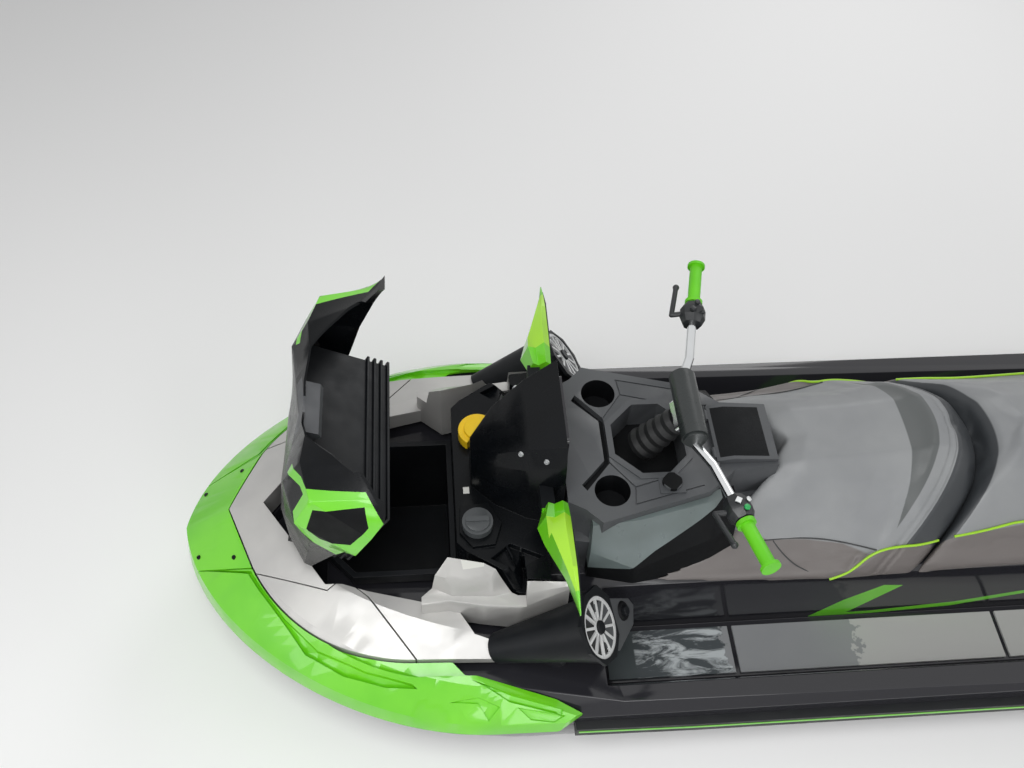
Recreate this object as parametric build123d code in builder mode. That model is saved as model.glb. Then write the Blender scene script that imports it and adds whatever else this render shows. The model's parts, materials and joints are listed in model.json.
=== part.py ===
# Three-seat personal watercraft with its front storage lid standing open.
# Millimetres. X runs forward to the bow, Y to port and Z up. The origin lies on the waterline, amidships.
from build123d import *
from math import cos, radians, sin, tan
import os

os.makedirs("parts", exist_ok=True)

# Driving sizes
length = 3580.0
beam = 1195.0  # over the bond rail
draft = 280.0
deadrise = 22.5
rail_depth = 22.0  # how far the rubber rail stands out of the hull side
panel_gap = 3.0  # shut line between two body panels
skin = 6.0  # moulded panel thickness
reach = 1000.0  # half of a cutting slab, wider than the craft
tall = 1500.0  # height of a cutting prism

bow_x = length / 2
stern_x = rail_depth - length / 2
side_half = beam / 2 - rail_depth
keel_half = 10.0
chine_half = side_half - 105.5
chine_flat = 50.0
chine_z = -draft + (chine_half - keel_half) * tan(radians(deadrise))

# Stations of the fore body are given for a bow at 1790 and move with it, those aft for a transom at -1768
fore = bow_x - 1790.0
aft = stern_x + 1768.0


def shifted(stations, by):
    """A table whose first column is x, moved along the craft."""
    return [(x + by, *rest) for x, *rest in stations]


# Bond line and deck top, points (x, z) from stern to bow
sheer = [(stern_x, 150), *shifted([(400, 170), (1000, 200), (1790, 235)], fore)]
deck_top = [
    (stern_x, 205), (aft - 1450, 245), *shifted([(600, 272), (900, 325), (1790, 352)], fore)
]
rail_low, rail_high = 22.0, 24.0  # rail below and above the bond line

# Footwells and the pedestal under the seats
well_floor_z = 130.0
well_inner = 285.0
well_outer = side_half - 125.5
well_lip = side_half - 67.5
well_block_half = well_lip + 12.0
well_front = fore + 640.0
floor_thickness = 28.0
platform_x = aft - 1370.0
pedestal_half = 292.0
pedestal_top = 425.0
pedestal_front = fore + 780.0
pedestal_rear = aft - 1330.0
mat_thickness = 7.0
mat_margin = 9.0

# Storage bin and its lid
hinge_x, hinge_z = fore + 1400.0, 450.0
hinge_pin = 5.0
lid_open = 62.0
bin_front, bin_rear = fore + 1378.0, fore + 1035.0
bin_half = 205.0
bin_floor = 40.0
bin_rim_z = 392.0
seal_gap = 3.0

# Steering
bar_x, bar_z = fore + 428.0, 792.0
column_tilt = 35.0
bar_radius = 12.0
grip_radius = 17.0
grip_flange = 24.0
stem_radius = 14.0
running_fit = 0.4

# Console
console_top = 680.0
cup_x, cup_y = fore + 626.0, 153.0
cup_radius = 46.0
cup_depth = 75.0
glovebox_x = fore + 262.0
glovebox_size = (140.0, 150.0, 120.0)

# Pump and jet
pump_z = -130.0
pump_bore = 80.0
pump_wall = 13.0
tunnel_half = 150.0
tunnel_front = aft - 1130.0
pump_front = tunnel_front - 20.0
pump_rear = pump_front - 290.0
venturi_rear = pump_rear - 160.0
venturi_bore = 45.0
venturi_wall = 12.0
nozzle_x = venturi_rear + 12.0  # vertical pivot of the steering nozzle
nozzle_rear = nozzle_x - 84.0
nozzle_bore = 50.0
nozzle_wall = 11.0
nozzle_gap = 10.0
bucket_x = venturi_rear + 65.0  # level pivot of the reverse bucket
bucket_radius = 164.0
bucket_wall = 8.0
bucket_half = 112.0
blade_gap = 5.0
shaft_radius = 14.0
shaft_gap = 2.0

engine_x, engine_z = -60.0, 80.0
engine_size = (760.0, 420.0, 460.0)
engine_air = 20.0
shaft_front = engine_x - engine_size[0] / 2 - 220.0


def write(builder, name):
    """Labels a finished piece and writes it to its own file."""
    builder.part.label = name
    export_step(builder.part, f"parts/{name}.step")


def outline(half, shoulder, bow, plane, stern=stern_x):
    """The craft's plan form on a plane: straight sides and two curved bow quarters."""
    run = bow - shoulder
    with BuildSketch(plane) as level:
        with BuildLine():
            Line((stern, half), (stern, -half))
            Line((stern, -half), (shoulder, -half))
            Bezier((shoulder, -half), (shoulder + 0.44 * run, -half), (bow - 0.06 * run, -0.53 * half),
                   (bow, 0))
            Bezier((bow, 0), (bow - 0.06 * run, 0.53 * half), (shoulder + 0.44 * run, half),
                   (shoulder, half))
            Line((shoulder, half), (stern, half))
        make_face()
    return level.sketch


def polygon(plane, points, grow=0.0):
    """A closed face through points, placed by its plane and grown outward if asked."""
    with BuildSketch(plane) as sketch:
        with BuildLine():
            Polyline(*points, close=True)
        make_face()
        if grow:
            offset(amount=grow, kind=Kind.INTERSECTION)
    return sketch.sketch


def side_face(points):
    """A face in the X, Z plane."""
    return polygon(Plane.XZ, points)


def top_face(points, z=0.0, grow=0.0):
    """A face in the X, Y plane at height z."""
    return polygon(Plane.XY.offset(z), points, grow)


def section(x, points, grow=0.0):
    """A face across the craft at x, from points (y, z)."""
    return polygon(Plane(origin=(x, 0, 0), x_dir=(0, 1, 0), z_dir=(1, 0, 0)), points, grow)


def both(points):
    """Closes the port half of a Y, Z outline with its mirror image."""
    return points + [(-y, z) for y, z in reversed(points) if y > 0]


def mirrored(points):
    """Closes the port half of an X, Y outline with its mirror image."""
    return points + [(x, -y) for x, y in reversed(points) if y > 0]


def on_side(side, points):
    """A port outline of (x, y), or its mirror image when side is -1."""
    return [(x, side * y) for x, y in points]


def across(side, points):
    """A port section of (y, z), or its mirror image when side is -1."""
    return [(side * y, z) for y, z in points]


def tilted(z_aft, z_bow):
    """A level plane tilted to pass z_aft at the fairings' rear end and z_bow at the bow."""
    slope = (z_bow - z_aft) / (bow_x - fairing_rear)
    return Plane(origin=(0, 0, z_aft - slope * fairing_rear), x_dir=(1, 0, slope), z_dir=(-slope, 0, 1))


def tube(start, end, radius):
    """A round bar between two points."""
    a, b = Vector(*start), Vector(*end)
    with BuildPart(mode=Mode.PRIVATE) as bar:
        with BuildSketch(Plane(origin=a, z_dir=b - a)):
            Circle(radius)
        extrude(amount=(b - a).length)
    return bar.part


# Body outlines from keel to deck: height, half beam, shoulder and bow
body_levels = [
    (-draft, keel_half, 250, 930),
    (chine_z, chine_half, 700, 1480),
    (chine_z + 18, chine_half + chine_flat, 780, 1545),
    (150, side_half, 950, 1700),
    (235, side_half, 990, 1735),
    (360, side_half - 85, 900, 1640),
]
with BuildPart() as body:
    loft(
        [
            outline(half, shoulder + fore, bow + fore, Plane.XY.offset(z))
            for z, half, shoulder, bow in body_levels
        ],
        ruled=True,
    )

# Bow panels: height aft, height at the bow, half beam, shoulder and bow
fairing_rear = fore + 700.0
bow_levels = [
    (165, 165, side_half + 3, 930, 1735),
    (215, 262, beam / 2 + 4, 940, 1790),
    (255, 325, beam / 2 - 4, 930, 1782),
    (335, 432, side_half - 50, 900, 1648),
    (388, 462, side_half - 160, 780, 1556),
]
with BuildPart() as bow_block:
    loft(
        [
            outline(half, shoulder + fore, bow + fore, tilted(low, high), fairing_rear)
            for low, high, half, shoulder, bow in bow_levels
        ],
        ruled=True,
    )
    add(body.part, mode=Mode.SUBTRACT)

under_floor = well_floor_z - floor_thickness
well_block = [
    (stern_x, -well_block_half), (well_front + 150, -well_block_half),
    (well_front + 150, well_block_half), (stern_x, well_block_half),
]
# Opening between the cowls, and the recess that the lid's nose swings into
lid_opening = mirrored(shifted(
    [(1546, 0), (1372, 247), (1327, 250), (1262, 272), (1072, 318), (1026, 332), (987, 398), (858, 446),
     (850, 520),
     (600, 520)], fore))
nose_well = mirrored([*shifted([(1546, 0), (1392, 218)], fore), (bin_front, 218)])
nose_well_floor = 290.0
bin_outline = mirrored([(bin_front, 120), (bin_front - 80, bin_half), (bin_rear, bin_half)])
transom_notch = [
    (stern_x - 132, -600), (tunnel_front, -600), (tunnel_front, -20), (tunnel_front - 170, 62),
    (stern_x - 132, 62)
]
duct_half = 76.0
intake_duct = shifted([(-1135, -206), (-1135, -54), (-960, -60), (-630, -310), (-1020, -310)], aft)


def cut_inner_spaces():
    """Cuts the storage bin's hole and the engine room."""
    extrude(top_face(bin_outline, bin_floor), amount=tall, mode=Mode.SUBTRACT)
    with Locations((engine_x, 0, engine_z)):
        Box(*(size + 2 * engine_air for size in engine_size), mode=Mode.SUBTRACT)


# Hull: the vee bottom with its lifting strakes, up to the bond line
strake_rows = [(215.0, 36.0, 13.0), (345.0, 36.0, 13.0)]  # inner edge, width and depth


def bottom_z(y):
    """Height of the vee bottom at y."""
    return -draft + (y - keel_half) * tan(radians(deadrise))


def strake_section(x, inner, width, depth, sink):
    """A strake's triangle at x, on the port side, sunk into the bottom by a depth."""
    outer = inner + width
    return section(x, [(inner, bottom_z(inner) + 4 + sink), (outer, bottom_z(outer) + 4 + sink),
                       (outer, bottom_z(inner) - depth / 2 + sink)])


with BuildPart() as strakes:
    for inner, width, depth in strake_rows:
        loft([strake_section(stern_x, inner, width, depth, 0),
              strake_section(-150, inner, width, depth, 0)], ruled=True)
        loft([strake_section(-150, inner, width, depth, 0),
              strake_section(fore + 250, inner, width, depth, 24)],
             ruled=True)
    mirror(about=Plane.XZ)
with BuildPart() as hull:
    add(body.part)
    add(strakes.part)
    extrude(
        side_face([*sheer, (bow_x, -600), (stern_x, -600)]), amount=reach, both=True, mode=Mode.INTERSECT
    )
    extrude(top_face(well_block, under_floor), amount=tall, mode=Mode.SUBTRACT)
    cut_inner_spaces()
    extrude(side_face(transom_notch), amount=tunnel_half, both=True, mode=Mode.SUBTRACT)
    extrude(side_face(intake_duct), amount=duct_half, both=True, mode=Mode.SUBTRACT)
    with Locations(Location((shaft_front, 0, pump_z), (0, 90, 0))):
        Cylinder(shaft_radius + shaft_gap, 2 * (shaft_front - tunnel_front), mode=Mode.SUBTRACT)
write(hull, "hull")

# Deck: gunwales, footwells, pedestal and the bow deck
footwell = [(well_inner, well_floor_z), (well_outer, well_floor_z), (well_lip, 275), (well_lip, 500),
            (well_inner, 500)]
pedestal = both([(pedestal_half, well_floor_z), (pedestal_half, 395), (252, pedestal_top)])
with BuildPart() as deck:
    add(body.part)
    extrude(side_face([*sheer, (bow_x, 800), (stern_x, 800)]), amount=reach, both=True,
            mode=Mode.INTERSECT)
    extrude(
        side_face([*deck_top, (bow_x, -600), (stern_x, -600)]), amount=reach, both=True,
        mode=Mode.INTERSECT
    )
    extrude(top_face(well_block, under_floor), amount=90)
    extrude(section(pedestal_rear, pedestal), amount=pedestal_front - pedestal_rear)
    for side in (1, -1):
        extrude(
            section(stern_x - 10, across(side, footwell)),
            amount=well_front - stern_x + 10,
            mode=Mode.SUBTRACT,
        )
    extrude(
        side_face([
            (stern_x - 132, well_floor_z), (platform_x, well_floor_z), (platform_x + 35, 600),
            (stern_x - 132, 600),
        ]),
        amount=well_lip,
        both=True,
        mode=Mode.SUBTRACT,
    )
    extrude(top_face(nose_well, nose_well_floor), amount=tall, mode=Mode.SUBTRACT)
    cut_inner_spaces()
write(deck, "deck")

# Bond rail, round the stern and both sides up to the bow fairings
rail_front = fore + 728.0
rail_foot = [(x, z - rail_low) for x, z in sheer[:3]]
rail_band = rail_foot + [(x, z + rail_high) for x, z in reversed(sheer[:3])]
with BuildPart() as bond_rail:
    with Locations(((stern_x - rail_depth + rail_front) / 2, 0, 170)):
        Box(rail_front - stern_x + rail_depth, beam, 200)
    extrude(
        side_face([(x - 100 if x < 0 else x, z) for x, z in rail_band]), amount=reach, both=True,
        mode=Mode.INTERSECT
    )
    add(body.part, mode=Mode.SUBTRACT)
write(bond_rail, "bond_rail")

# Plan lines of the bow panels: lip of the lime fairings, edge of the silver cowls, seams and recesses
def panel_line(points, shrink=0.0):
    """A closed plan form: straight at the bow, an arc round each quarter, then straight aft."""
    nose, start, quarter, end, tail = shifted([(x - shrink, max(y - shrink, 0)) for x, y in points], fore)
    with BuildSketch() as plan:
        with BuildLine():
            for side in (1, -1):
                Line(nose, (start[0], side * start[1]))
                ThreePointArc((start[0], side * start[1]), (quarter[0], side * quarter[1]),
                              (end[0], side * end[1]))
                Line((end[0], side * end[1]), (tail[0], side * tail[1]))
            Line(tail, (tail[0], -tail[1]))
        make_face()
    return plan.sketch


lip_points = [(1646, 0), (1570, 180), (1408, 378), (1150, 500), (600, 520)]
cowl_points = [(1646, 0), (1570, 180), (1408, 366), (1150, 453), (600, 478)]
cap_seam = shifted([(1850, 102), (1400, 226), (1400, -226), (1850, -102)], fore)
fairing_tail = shifted([(1017, 488), (782, 541), (714, 573), (802, 615), (1050, 640), (2000, 640),
                        (2000, 0), (1500, 0)],
                       fore)
tail_side = shifted([(2000, 800), (1017, 420), (1017, 380), (716, 266), (704, 256), (806, 205),
                     (900, 100), (2000, 100)],
                    fore)
# Recess beside the lip and groove along the tail, as drawn on the port side: points and depth
fairing_recesses = [
    ([(1745, 131), (1581, 190), (1551, 236), (1480, 330), (1428, 402), (1330, 462), (1221, 500),
      (1139, 512),
      (1150, 502), (1270, 462), (1394, 400), (1480, 316), (1552, 218), (1572, 186), (1746, 128)], 16.0),
    ([(1000, 505), (905, 552), (770, 579), (766, 567), (901, 538)], 10.0),
]
tail_facets = [
    ([(1060, 545), (985, 552), (960, 585), (930, 560), (985, 540)], 5.0),
    ([(885, 562), (850, 586), (790, 592), (760, 580), (800, 574)], 5.0),
]


def sunk(face, depth):
    """The top slice of the bow panels under a plan face, down to a depth."""
    with BuildPart(mode=Mode.PRIVATE) as slice_part:
        extrude(face, amount=tall)
        add(bow_block.part.moved(Location((0, 0, -depth))), mode=Mode.SUBTRACT)
    return slice_part.part


with BuildPart() as lime_block:
    add(bow_block.part)
    extrude(panel_line(cowl_points), amount=tall, mode=Mode.SUBTRACT)
    add(sunk(panel_line(lip_points, 10), 14), mode=Mode.SUBTRACT)
with BuildPart() as bow_cap:
    add(lime_block.part)
    extrude(top_face(cap_seam), amount=tall, mode=Mode.INTERSECT)
write(bow_cap, "bow_cap")
with BuildPart() as fairing_form:
    for side in (1, -1):
        extrude(top_face(on_side(side, fairing_tail)), amount=tall)
    extrude(side_face(tail_side), amount=reach, both=True, mode=Mode.INTERSECT)
with BuildPart() as bow_fairings:
    add(lime_block.part)
    add(fairing_form.part, mode=Mode.INTERSECT)
    extrude(top_face(cap_seam, 0, panel_gap), amount=tall, mode=Mode.SUBTRACT)
    for points, depth in fairing_recesses + tail_facets:
        for side in (1, -1):
            add(sunk(top_face(on_side(side, shifted(points, fore))), depth), mode=Mode.SUBTRACT)
write(bow_fairings, "bow_fairings")

# Silver cowls inside that line: a front piece round the lid's nose and two panels on each side
front_seam = mirrored(shifted(
    [(1720, 0), (1720, 144), (1553, 197), (1367, 262), (1326, 234), (1240, 200), (1240, 0)], fore))
side_seam = shifted([(1300, 200), (1326, 234), (1262, 288), (1130, 465), (1100, 520)], fore)
with BuildPart() as silver_block:
    add(bow_block.part)
    extrude(panel_line(cowl_points, panel_gap), amount=tall, mode=Mode.INTERSECT)
    extrude(top_face(lid_opening), amount=tall, mode=Mode.SUBTRACT)
with BuildPart() as front_cowl:
    add(silver_block.part)
    extrude(top_face(front_seam), amount=tall, mode=Mode.INTERSECT)
write(front_cowl, "front_cowl")
with BuildPart() as side_cowls:
    add(silver_block.part)
    extrude(top_face(front_seam, 0, panel_gap), amount=tall, mode=Mode.SUBTRACT)
    for side in (1, -1):
        gap = [(x, y) for x, y in side_seam] + [(x - 1.5 * panel_gap, y) for x, y in reversed(side_seam)]
        extrude(top_face(on_side(side, gap)), amount=tall, mode=Mode.SUBTRACT)
write(side_cowls, "side_cowls")

# Storage bin with its raised rim and the hinge lugs on its front wall
lug_y, lug_width, lug_radius = 110.0, 22.0, 12.0
rim_depth = 40.0
with BuildPart() as storage_bin:
    extrude(top_face(bin_outline, bin_floor), amount=bin_rim_z - bin_floor)
    extrude(top_face(bin_outline, bin_rim_z - rim_depth, 10), amount=rim_depth)
    extrude(top_face(bin_outline, bin_floor + skin, -skin), amount=tall, mode=Mode.SUBTRACT)
    for side in (1, -1):
        with BuildSketch(Plane.XZ.offset(-side * lug_y)):
            with Locations((hinge_x, hinge_z)):
                Circle(lug_radius)
            with BuildLine():
                Polyline(
                    (hinge_x - 12, hinge_z), (hinge_x - 12, 372), (hinge_x + 4, 372),
                    (hinge_x + 12, hinge_z), close=True
                )
            make_face()
        extrude(amount=lug_width / 2, both=True)
        with Locations(Location((hinge_x, side * (lug_y + lug_width), hinge_z), (90, 0, 0))):
            Cylinder(hinge_pin, 2 * lug_width)
write(storage_bin, "storage_bin")

# Storage lid, drawn closed: x, then lower edge, flank, shoulder and ridge as (y, z), and crest height
lid_sections = shifted([
    (1516, (14, 474), (12, 478), (9, 482), (5, 486), 488),
    (1352, (232, 476), (226, 494), (160, 536), (80, 566), 570),
    (1200, (276, 478), (268, 540), (190, 604), (100, 612), 610),
    (1120, (306, 480), (294, 566), (196, 636), (100, 628), 622),
    (1040, (356, 484), (303, 634), (200, 668), (100, 652), 640),
    (940, (364, 488), (302, 636), (205, 664), (100, 652), 644),
    (860, (364, 492), (312, 516), (240, 562), (150, 600), 610),
], fore)
lid_cavity_drop = 90.0


def lid_form(inset, drop):
    """The lid's faceted outer form, or its cavity when inset; open below."""
    faces = []
    for x, edge, *corners, crest in lid_sections:
        points = [(edge[0] - min(inset, edge[0] - 2), edge[1] - drop)]
        points += [(max(y - inset, 1 + 2 / (1 + n)), z - inset) for n, (y, z) in enumerate(corners)]
        faces.append(section(x, both([*points, (0, crest - inset)])))
    return loft(faces, ruled=True)


dash_notch = mirrored(shifted([(1003, 0), (990, 62), (940, 130), (892, 200), (868, 250), (760, 262)],
                              fore))
lid_hinge = Axis((hinge_x, 0, hinge_z), (0, 1, 0))
latch_x, latch_half = fore + 1012.0, 75.0
with BuildPart() as storage_lid:
    add(lid_form(0, 0))
    add(lid_form(skin, lid_cavity_drop), mode=Mode.SUBTRACT)
    extrude(top_face(dash_notch), amount=tall, mode=Mode.SUBTRACT)
    for side in (1, -1):
        with BuildSketch(Plane.XZ.offset(-side * (lug_y + lug_width))):
            with Locations((hinge_x, hinge_z)):
                Circle(lug_radius)
            with BuildLine():
                Polyline(
                    (hinge_x - 12, hinge_z), (hinge_x - 25, 533), (hinge_x + 5, 523),
                    (hinge_x + 12, hinge_z), close=True
                )
            make_face()
            with Locations((hinge_x, hinge_z)):
                Circle(hinge_pin + running_fit, mode=Mode.SUBTRACT)
        extrude(amount=lug_width / 2 - 1, both=True)
    # Latch handle under the rear edge of the crest
    extrude(side_face([(latch_x - 8, 640), (latch_x + 14, 640), (latch_x + 16, 604), (latch_x + 2, 588),
                       (latch_x - 10, 600)]), amount=latch_half, both=True)
lid_open_part = storage_lid.part.rotate(lid_hinge, lid_open)
lid_open_part.label = "storage_lid"
export_step(lid_open_part, "parts/storage_lid.step")

# Room that the shut lid needs, outside its cavity and above its edge, but for the dash's notch
lid_clearance = 10.0
room_rear, room_front, room_floor = fore + 852.0, fore + 1530.0, 472.0
with BuildPart() as lid_room:
    extrude(top_face(mirrored([(room_rear, 420), (room_front, 420)]), room_floor), amount=tall)
    add(lid_form(skin + lid_clearance, lid_cavity_drop), mode=Mode.SUBTRACT)
    extrude(top_face(dash_notch), amount=tall, mode=Mode.SUBTRACT)

# Liner under the lid: a pan that closes the bin, ribbed round its wall
liner_outline = mirrored(shifted([(1368, 150), (1290, 220), (1050, 232)], fore))
liner_rib, liner_rib_step, liner_rib_rows = 8.0, 19.0, 4
with BuildPart() as lid_liner:
    add(lid_form(skin, lid_cavity_drop))
    extrude(top_face(liner_outline, bin_rim_z + seal_gap), amount=tall, mode=Mode.INTERSECT)
    for row in range(liner_rib_rows):
        rib_z = bin_rim_z + seal_gap + row * liner_rib_step
        extrude(top_face(liner_outline, rib_z, liner_rib), amount=liner_rib)
    extrude(top_face(liner_outline, bin_rim_z + seal_gap + skin, -skin), amount=tall, mode=Mode.SUBTRACT)
    add(storage_lid.part, mode=Mode.SUBTRACT)
lid_liner_open = lid_liner.part.rotate(lid_hinge, lid_open)
lid_liner_open.label = "lid_liner"
export_step(lid_liner_open, "parts/lid_liner.step")

# Dash: the platform that carries the filler caps, and the faceted meter hood
dash_platform_z = 556.0
hood_rear = fore + 752.0
# x, then foot, waist, side and brow of the hood as (y, z)
hood_sections = shifted([
    (980, (44, 540), (42, 620), (34, 660), (20, 690)),
    (921, (104, 540), (100, 650), (88, 715), (71, 755)),
    (840, (150, 540), (146, 660), (134, 760), (108, 812)),
    (752, (176, 540), (172, 690), (158, 800), (134, 861)),
], fore)
dash_sides = shifted([(1024, 212), (1000, 238), (905, 300), (868, 322), (790, 330), (790, 222)], fore)
collar_z = dash_platform_z + 14.0
fuel_x, fuel_y = fore + 969.0, 172.0
fuel_collar = shifted([(1012, 112), (938, 106), (906, 168), (926, 228), (984, 234), (1016, 190)], fore)
vent_depth = 22.0
vent_corners = shifted([(888, 222), (806, 262), (872, 300), (940, 262)], fore)
with BuildPart() as dash_cowl:
    loft([section(x, both(list(points))) for x, *points in hood_sections], ruled=True)
    extrude(top_face(mirrored(dash_sides), pedestal_top), amount=dash_platform_z - pedestal_top)
    extrude(top_face(mirrored([(fore + 1024, 215), (fore + 782, 215)]), 300), amount=pedestal_top - 300)
    extrude(top_face(fuel_collar, dash_platform_z), amount=collar_z - dash_platform_z)
    # Vent beside the hood with two slats left standing in it
    for side in (1, -1):
        extrude(top_face(on_side(side, vent_corners), dash_platform_z), amount=-vent_depth,
                mode=Mode.SUBTRACT)
        for near, far in (((fore + 900, 225), (fore + 872, 300)), ((fore + 862, 232), (fore + 876, 298))):
            slat = [near, far, (far[0] - 6, far[1]), (near[0] - 6, near[1])]
            extrude(top_face(on_side(side, slat), dash_platform_z - 3), amount=3 - vent_depth)
    for piece in (deck, storage_bin, lid_room):
        add(piece.part, mode=Mode.SUBTRACT)
write(dash_cowl, "dash_cowl")

# Meter display in the hood's rear face
display_size = (206.0, 104.0)
display_z = 788.0
with BuildPart() as meter_display:
    with BuildSketch(Plane(origin=(hood_rear, 0, display_z), x_dir=(0, 1, 0), z_dir=(-1, 0, 0))):
        RectangleRounded(*display_size, 14)
    extrude(amount=9)
write(meter_display, "meter_display")

# Mirrors: leaf-shaped housings with a raised inner leaf, and the glass behind
mirror_x = fore + 764.0
mirror_leaf = [(206, 690), (300, 662), (430, 678), (505, 724), (420, 764), (286, 756), (206, 730)]
mirror_nose = [(206, 695), (290, 688), (340, 696), (372, 714), (340, 734), (286, 742), (206, 725)]
mirror_crown = [(268, 702), (310, 700), (400, 712), (448, 726), (400, 740), (310, 744), (268, 730)]
glass_depth = 3.0
with BuildPart() as mirror_housings:
    for side in (1, -1):
        loft([section(mirror_x - 14, across(side, mirror_leaf)),
              section(mirror_x + 46, across(side, mirror_nose))],
             ruled=True)
        loft([section(mirror_x + 6, across(side, mirror_crown)),
              section(mirror_x + 62, across(side, mirror_crown), -10)],
             ruled=True)
        extrude(
            section(mirror_x + 34, across(side, [(150, 640), (222, 694), (222, 728), (150, 716)])),
            amount=-28
        )
    add(dash_cowl.part, mode=Mode.SUBTRACT)
write(mirror_housings, "mirror_housings")
with BuildPart() as mirror_glasses:
    for side in (1, -1):
        extrude(section(mirror_x - 14 - glass_depth, across(side, mirror_leaf[1:6]), -8),
                amount=glass_depth)
write(mirror_glasses, "mirror_glasses")

# Upper cowls beside the dash: x, then foot, outer edge, shoulder, inner edge and inner foot as (y, z)
upper_sections = shifted([
    (1120, (340, 360), (340, 468), (328, 484), (320, 488), (316, 360)),
    (1050, (334, 360), (334, 468), (296, 540), (262, 574), (256, 360)),
    (960, (354, 360), (352, 468), (318, 524), (282, 572), (278, 360)),
    (872, (368, 360), (362, 464), (344, 512), (330, 558), (326, 360)),
    (745, (356, 360), (350, 540), (346, 548), (336, 552), (334, 360)),
], fore)
with BuildPart() as upper_cowls:
    for side in (1, -1):
        loft([section(x, across(side, points)) for x, *points in upper_sections], ruled=True)
    for piece in (deck, body, front_cowl, side_cowls, dash_cowl, storage_bin, lid_room):
        add(piece.part, mode=Mode.SUBTRACT)
write(upper_cowls, "upper_cowls")

# Hinge of the glovebox cover
cover_hinge_x, cover_hinge_z = fore + 348.0, console_top + 9.0
cover_hinge_y, cover_pin, cover_barrel = 60.0, 2.5, 6.0

# Console between the dash and the seat: grooved like a honeycomb round two cups and the steering well
console_base = mirrored(shifted([(790, 214), (640, 240), (430, 222), (180, 150)], fore))
console_lid = mirrored(shifted([(742, 180), (700, 204), (660, 244), (374, 168), (300, 108), (180, 96)],
                               fore))
console_shelf = 560.0
well_depth, well_rim = 95.0, 16.0
steering_well = mirrored(shifted([(606, 46), (542, 108), (470, 108), (420, 60)], fore))
front_channel = shifted([(702, 132), (636, 62), (636, -62), (702, -132), (690, -150), (622, -70),
                         (622, 70),
                         (690, 150)], fore)
# Shut lines of the console's cells, each from one point to the next
cell_lines = [shifted(line, fore) for line in (
    [(624, 68), (566, 146), (572, 196), (390, 150)],
    [(566, 146), (488, 124)],
)]
line_width, line_depth = 4.0, 4.0
knob_x, knob_y, knob_radius = fore + 472.0, 141.0, 25.0
column_angle = Vector(sin(radians(column_tilt)), 0, -cos(radians(column_tilt)))
bar_centre = Vector(bar_x, 0, bar_z)
neck_top = bar_centre + column_angle * 34
neck_plane = Plane(origin=neck_top, z_dir=column_angle)
with BuildPart() as console:
    extrude(top_face(console_base, pedestal_top), amount=console_shelf - pedestal_top)
    extrude(top_face(console_lid, console_shelf), amount=console_top - console_shelf)
    extrude(top_face(steering_well, console_top, well_rim), amount=5)
    extrude(top_face(steering_well, console_top + 5), amount=-well_depth, mode=Mode.SUBTRACT)
    extrude(top_face(front_channel, console_top), amount=-20, mode=Mode.SUBTRACT)
    for side in (1, -1):
        for line in cell_lines:
            for (ax, ay), (bx, by) in zip(line, line[1:]):
                groove = Vector(bx - ax, side * (by - ay))
                with BuildSketch(Plane(origin=((ax + bx) / 2, side * (ay + by) / 2, console_top),
                                       x_dir=groove)):
                    Rectangle(groove.length + line_width, line_width)
                extrude(amount=-line_depth, mode=Mode.SUBTRACT)
        with Locations((cup_x, side * cup_y, console_top)):
            Cylinder(cup_radius, cup_depth, align=(Align.CENTER, Align.CENTER, Align.MAX),
                     mode=Mode.SUBTRACT)
    with Locations((glovebox_x, 0, console_top)):
        Box(*glovebox_size, align=(Align.CENTER, Align.CENTER, Align.MAX), mode=Mode.SUBTRACT)
    with Locations((knob_x, knob_y, console_top)):
        Box(66, 58, 4, align=(Align.CENTER, Align.CENTER, Align.MIN))
        Cylinder(knob_radius, 16, align=(Align.CENTER, Align.CENTER, Align.MIN))
    add(dash_cowl.part, mode=Mode.SUBTRACT)
    add(upper_cowls.part, mode=Mode.SUBTRACT)
    for side in (1, -1):
        with Locations((cover_hinge_x, side * (cover_hinge_y + 36), console_top)):
            Box(14, 8, 15, align=(Align.CENTER, Align.CENTER, Align.MIN))
        with Locations(Location((cover_hinge_x, side * (cover_hinge_y + 9), cover_hinge_z), (90, 0, 0))):
            Cylinder(cover_pin, 54)
write(console, "console")

# Knee panels: x, then foot, outer corner, brow and inner top as (y, z)
knee_sections = shifted([
    (684, (262, 426), (262, 560), (238, 655), (212, 655), (212, 426)),
    (562, (290, 426), (286, 500), (228, 655), (206, 655), (206, 426)),
    (360, (262, 426), (240, 560), (182, 655), (152, 655), (152, 426)),
    (300, (250, 426), (215, 590), (150, 640), (130, 640), (130, 426)),
], fore)
with BuildPart() as knee_panels:
    for side in (1, -1):
        loft([section(x, across(side, points)) for x, *points in knee_sections], ruled=True)
    for piece in (console, upper_cowls, dash_cowl):
        add(piece.part, mode=Mode.SUBTRACT)
write(knee_panels, "knee_panels")

# Bellows round the steering column, folded between the well and the bar
fold_count, fold_length = 5, 28.0
neck_radius, neck_spread, fold_height = 32.0, 2.5, 5.0
folds = [(0, 0), (0, neck_radius)]
for fold in range(fold_count):
    radius = neck_radius + fold * neck_spread
    folds += [((fold + 0.5) * fold_length, radius + fold_height),
              ((fold + 1) * fold_length, radius + neck_spread)]
folds.append((fold_count * fold_length, 0))
with BuildPart() as steering_neck:
    with BuildSketch(Plane(origin=neck_top, x_dir=column_angle, z_dir=(0, 1, 0))):
        with BuildLine():
            Polyline(*folds, close=True)
        make_face()
    revolve(axis=Axis(neck_top, column_angle), revolution_arc=360)
    with BuildSketch(neck_plane):
        Circle(stem_radius + running_fit)
    extrude(amount=72, mode=Mode.SUBTRACT)
    add(console.part, mode=Mode.SUBTRACT)
    with Locations((fore + 535, 0, console_top + 5 - well_depth)):
        Box(400, 400, 300, align=(Align.CENTER, Align.CENTER, Align.MAX), mode=Mode.SUBTRACT)
write(steering_neck, "steering_neck")

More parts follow.
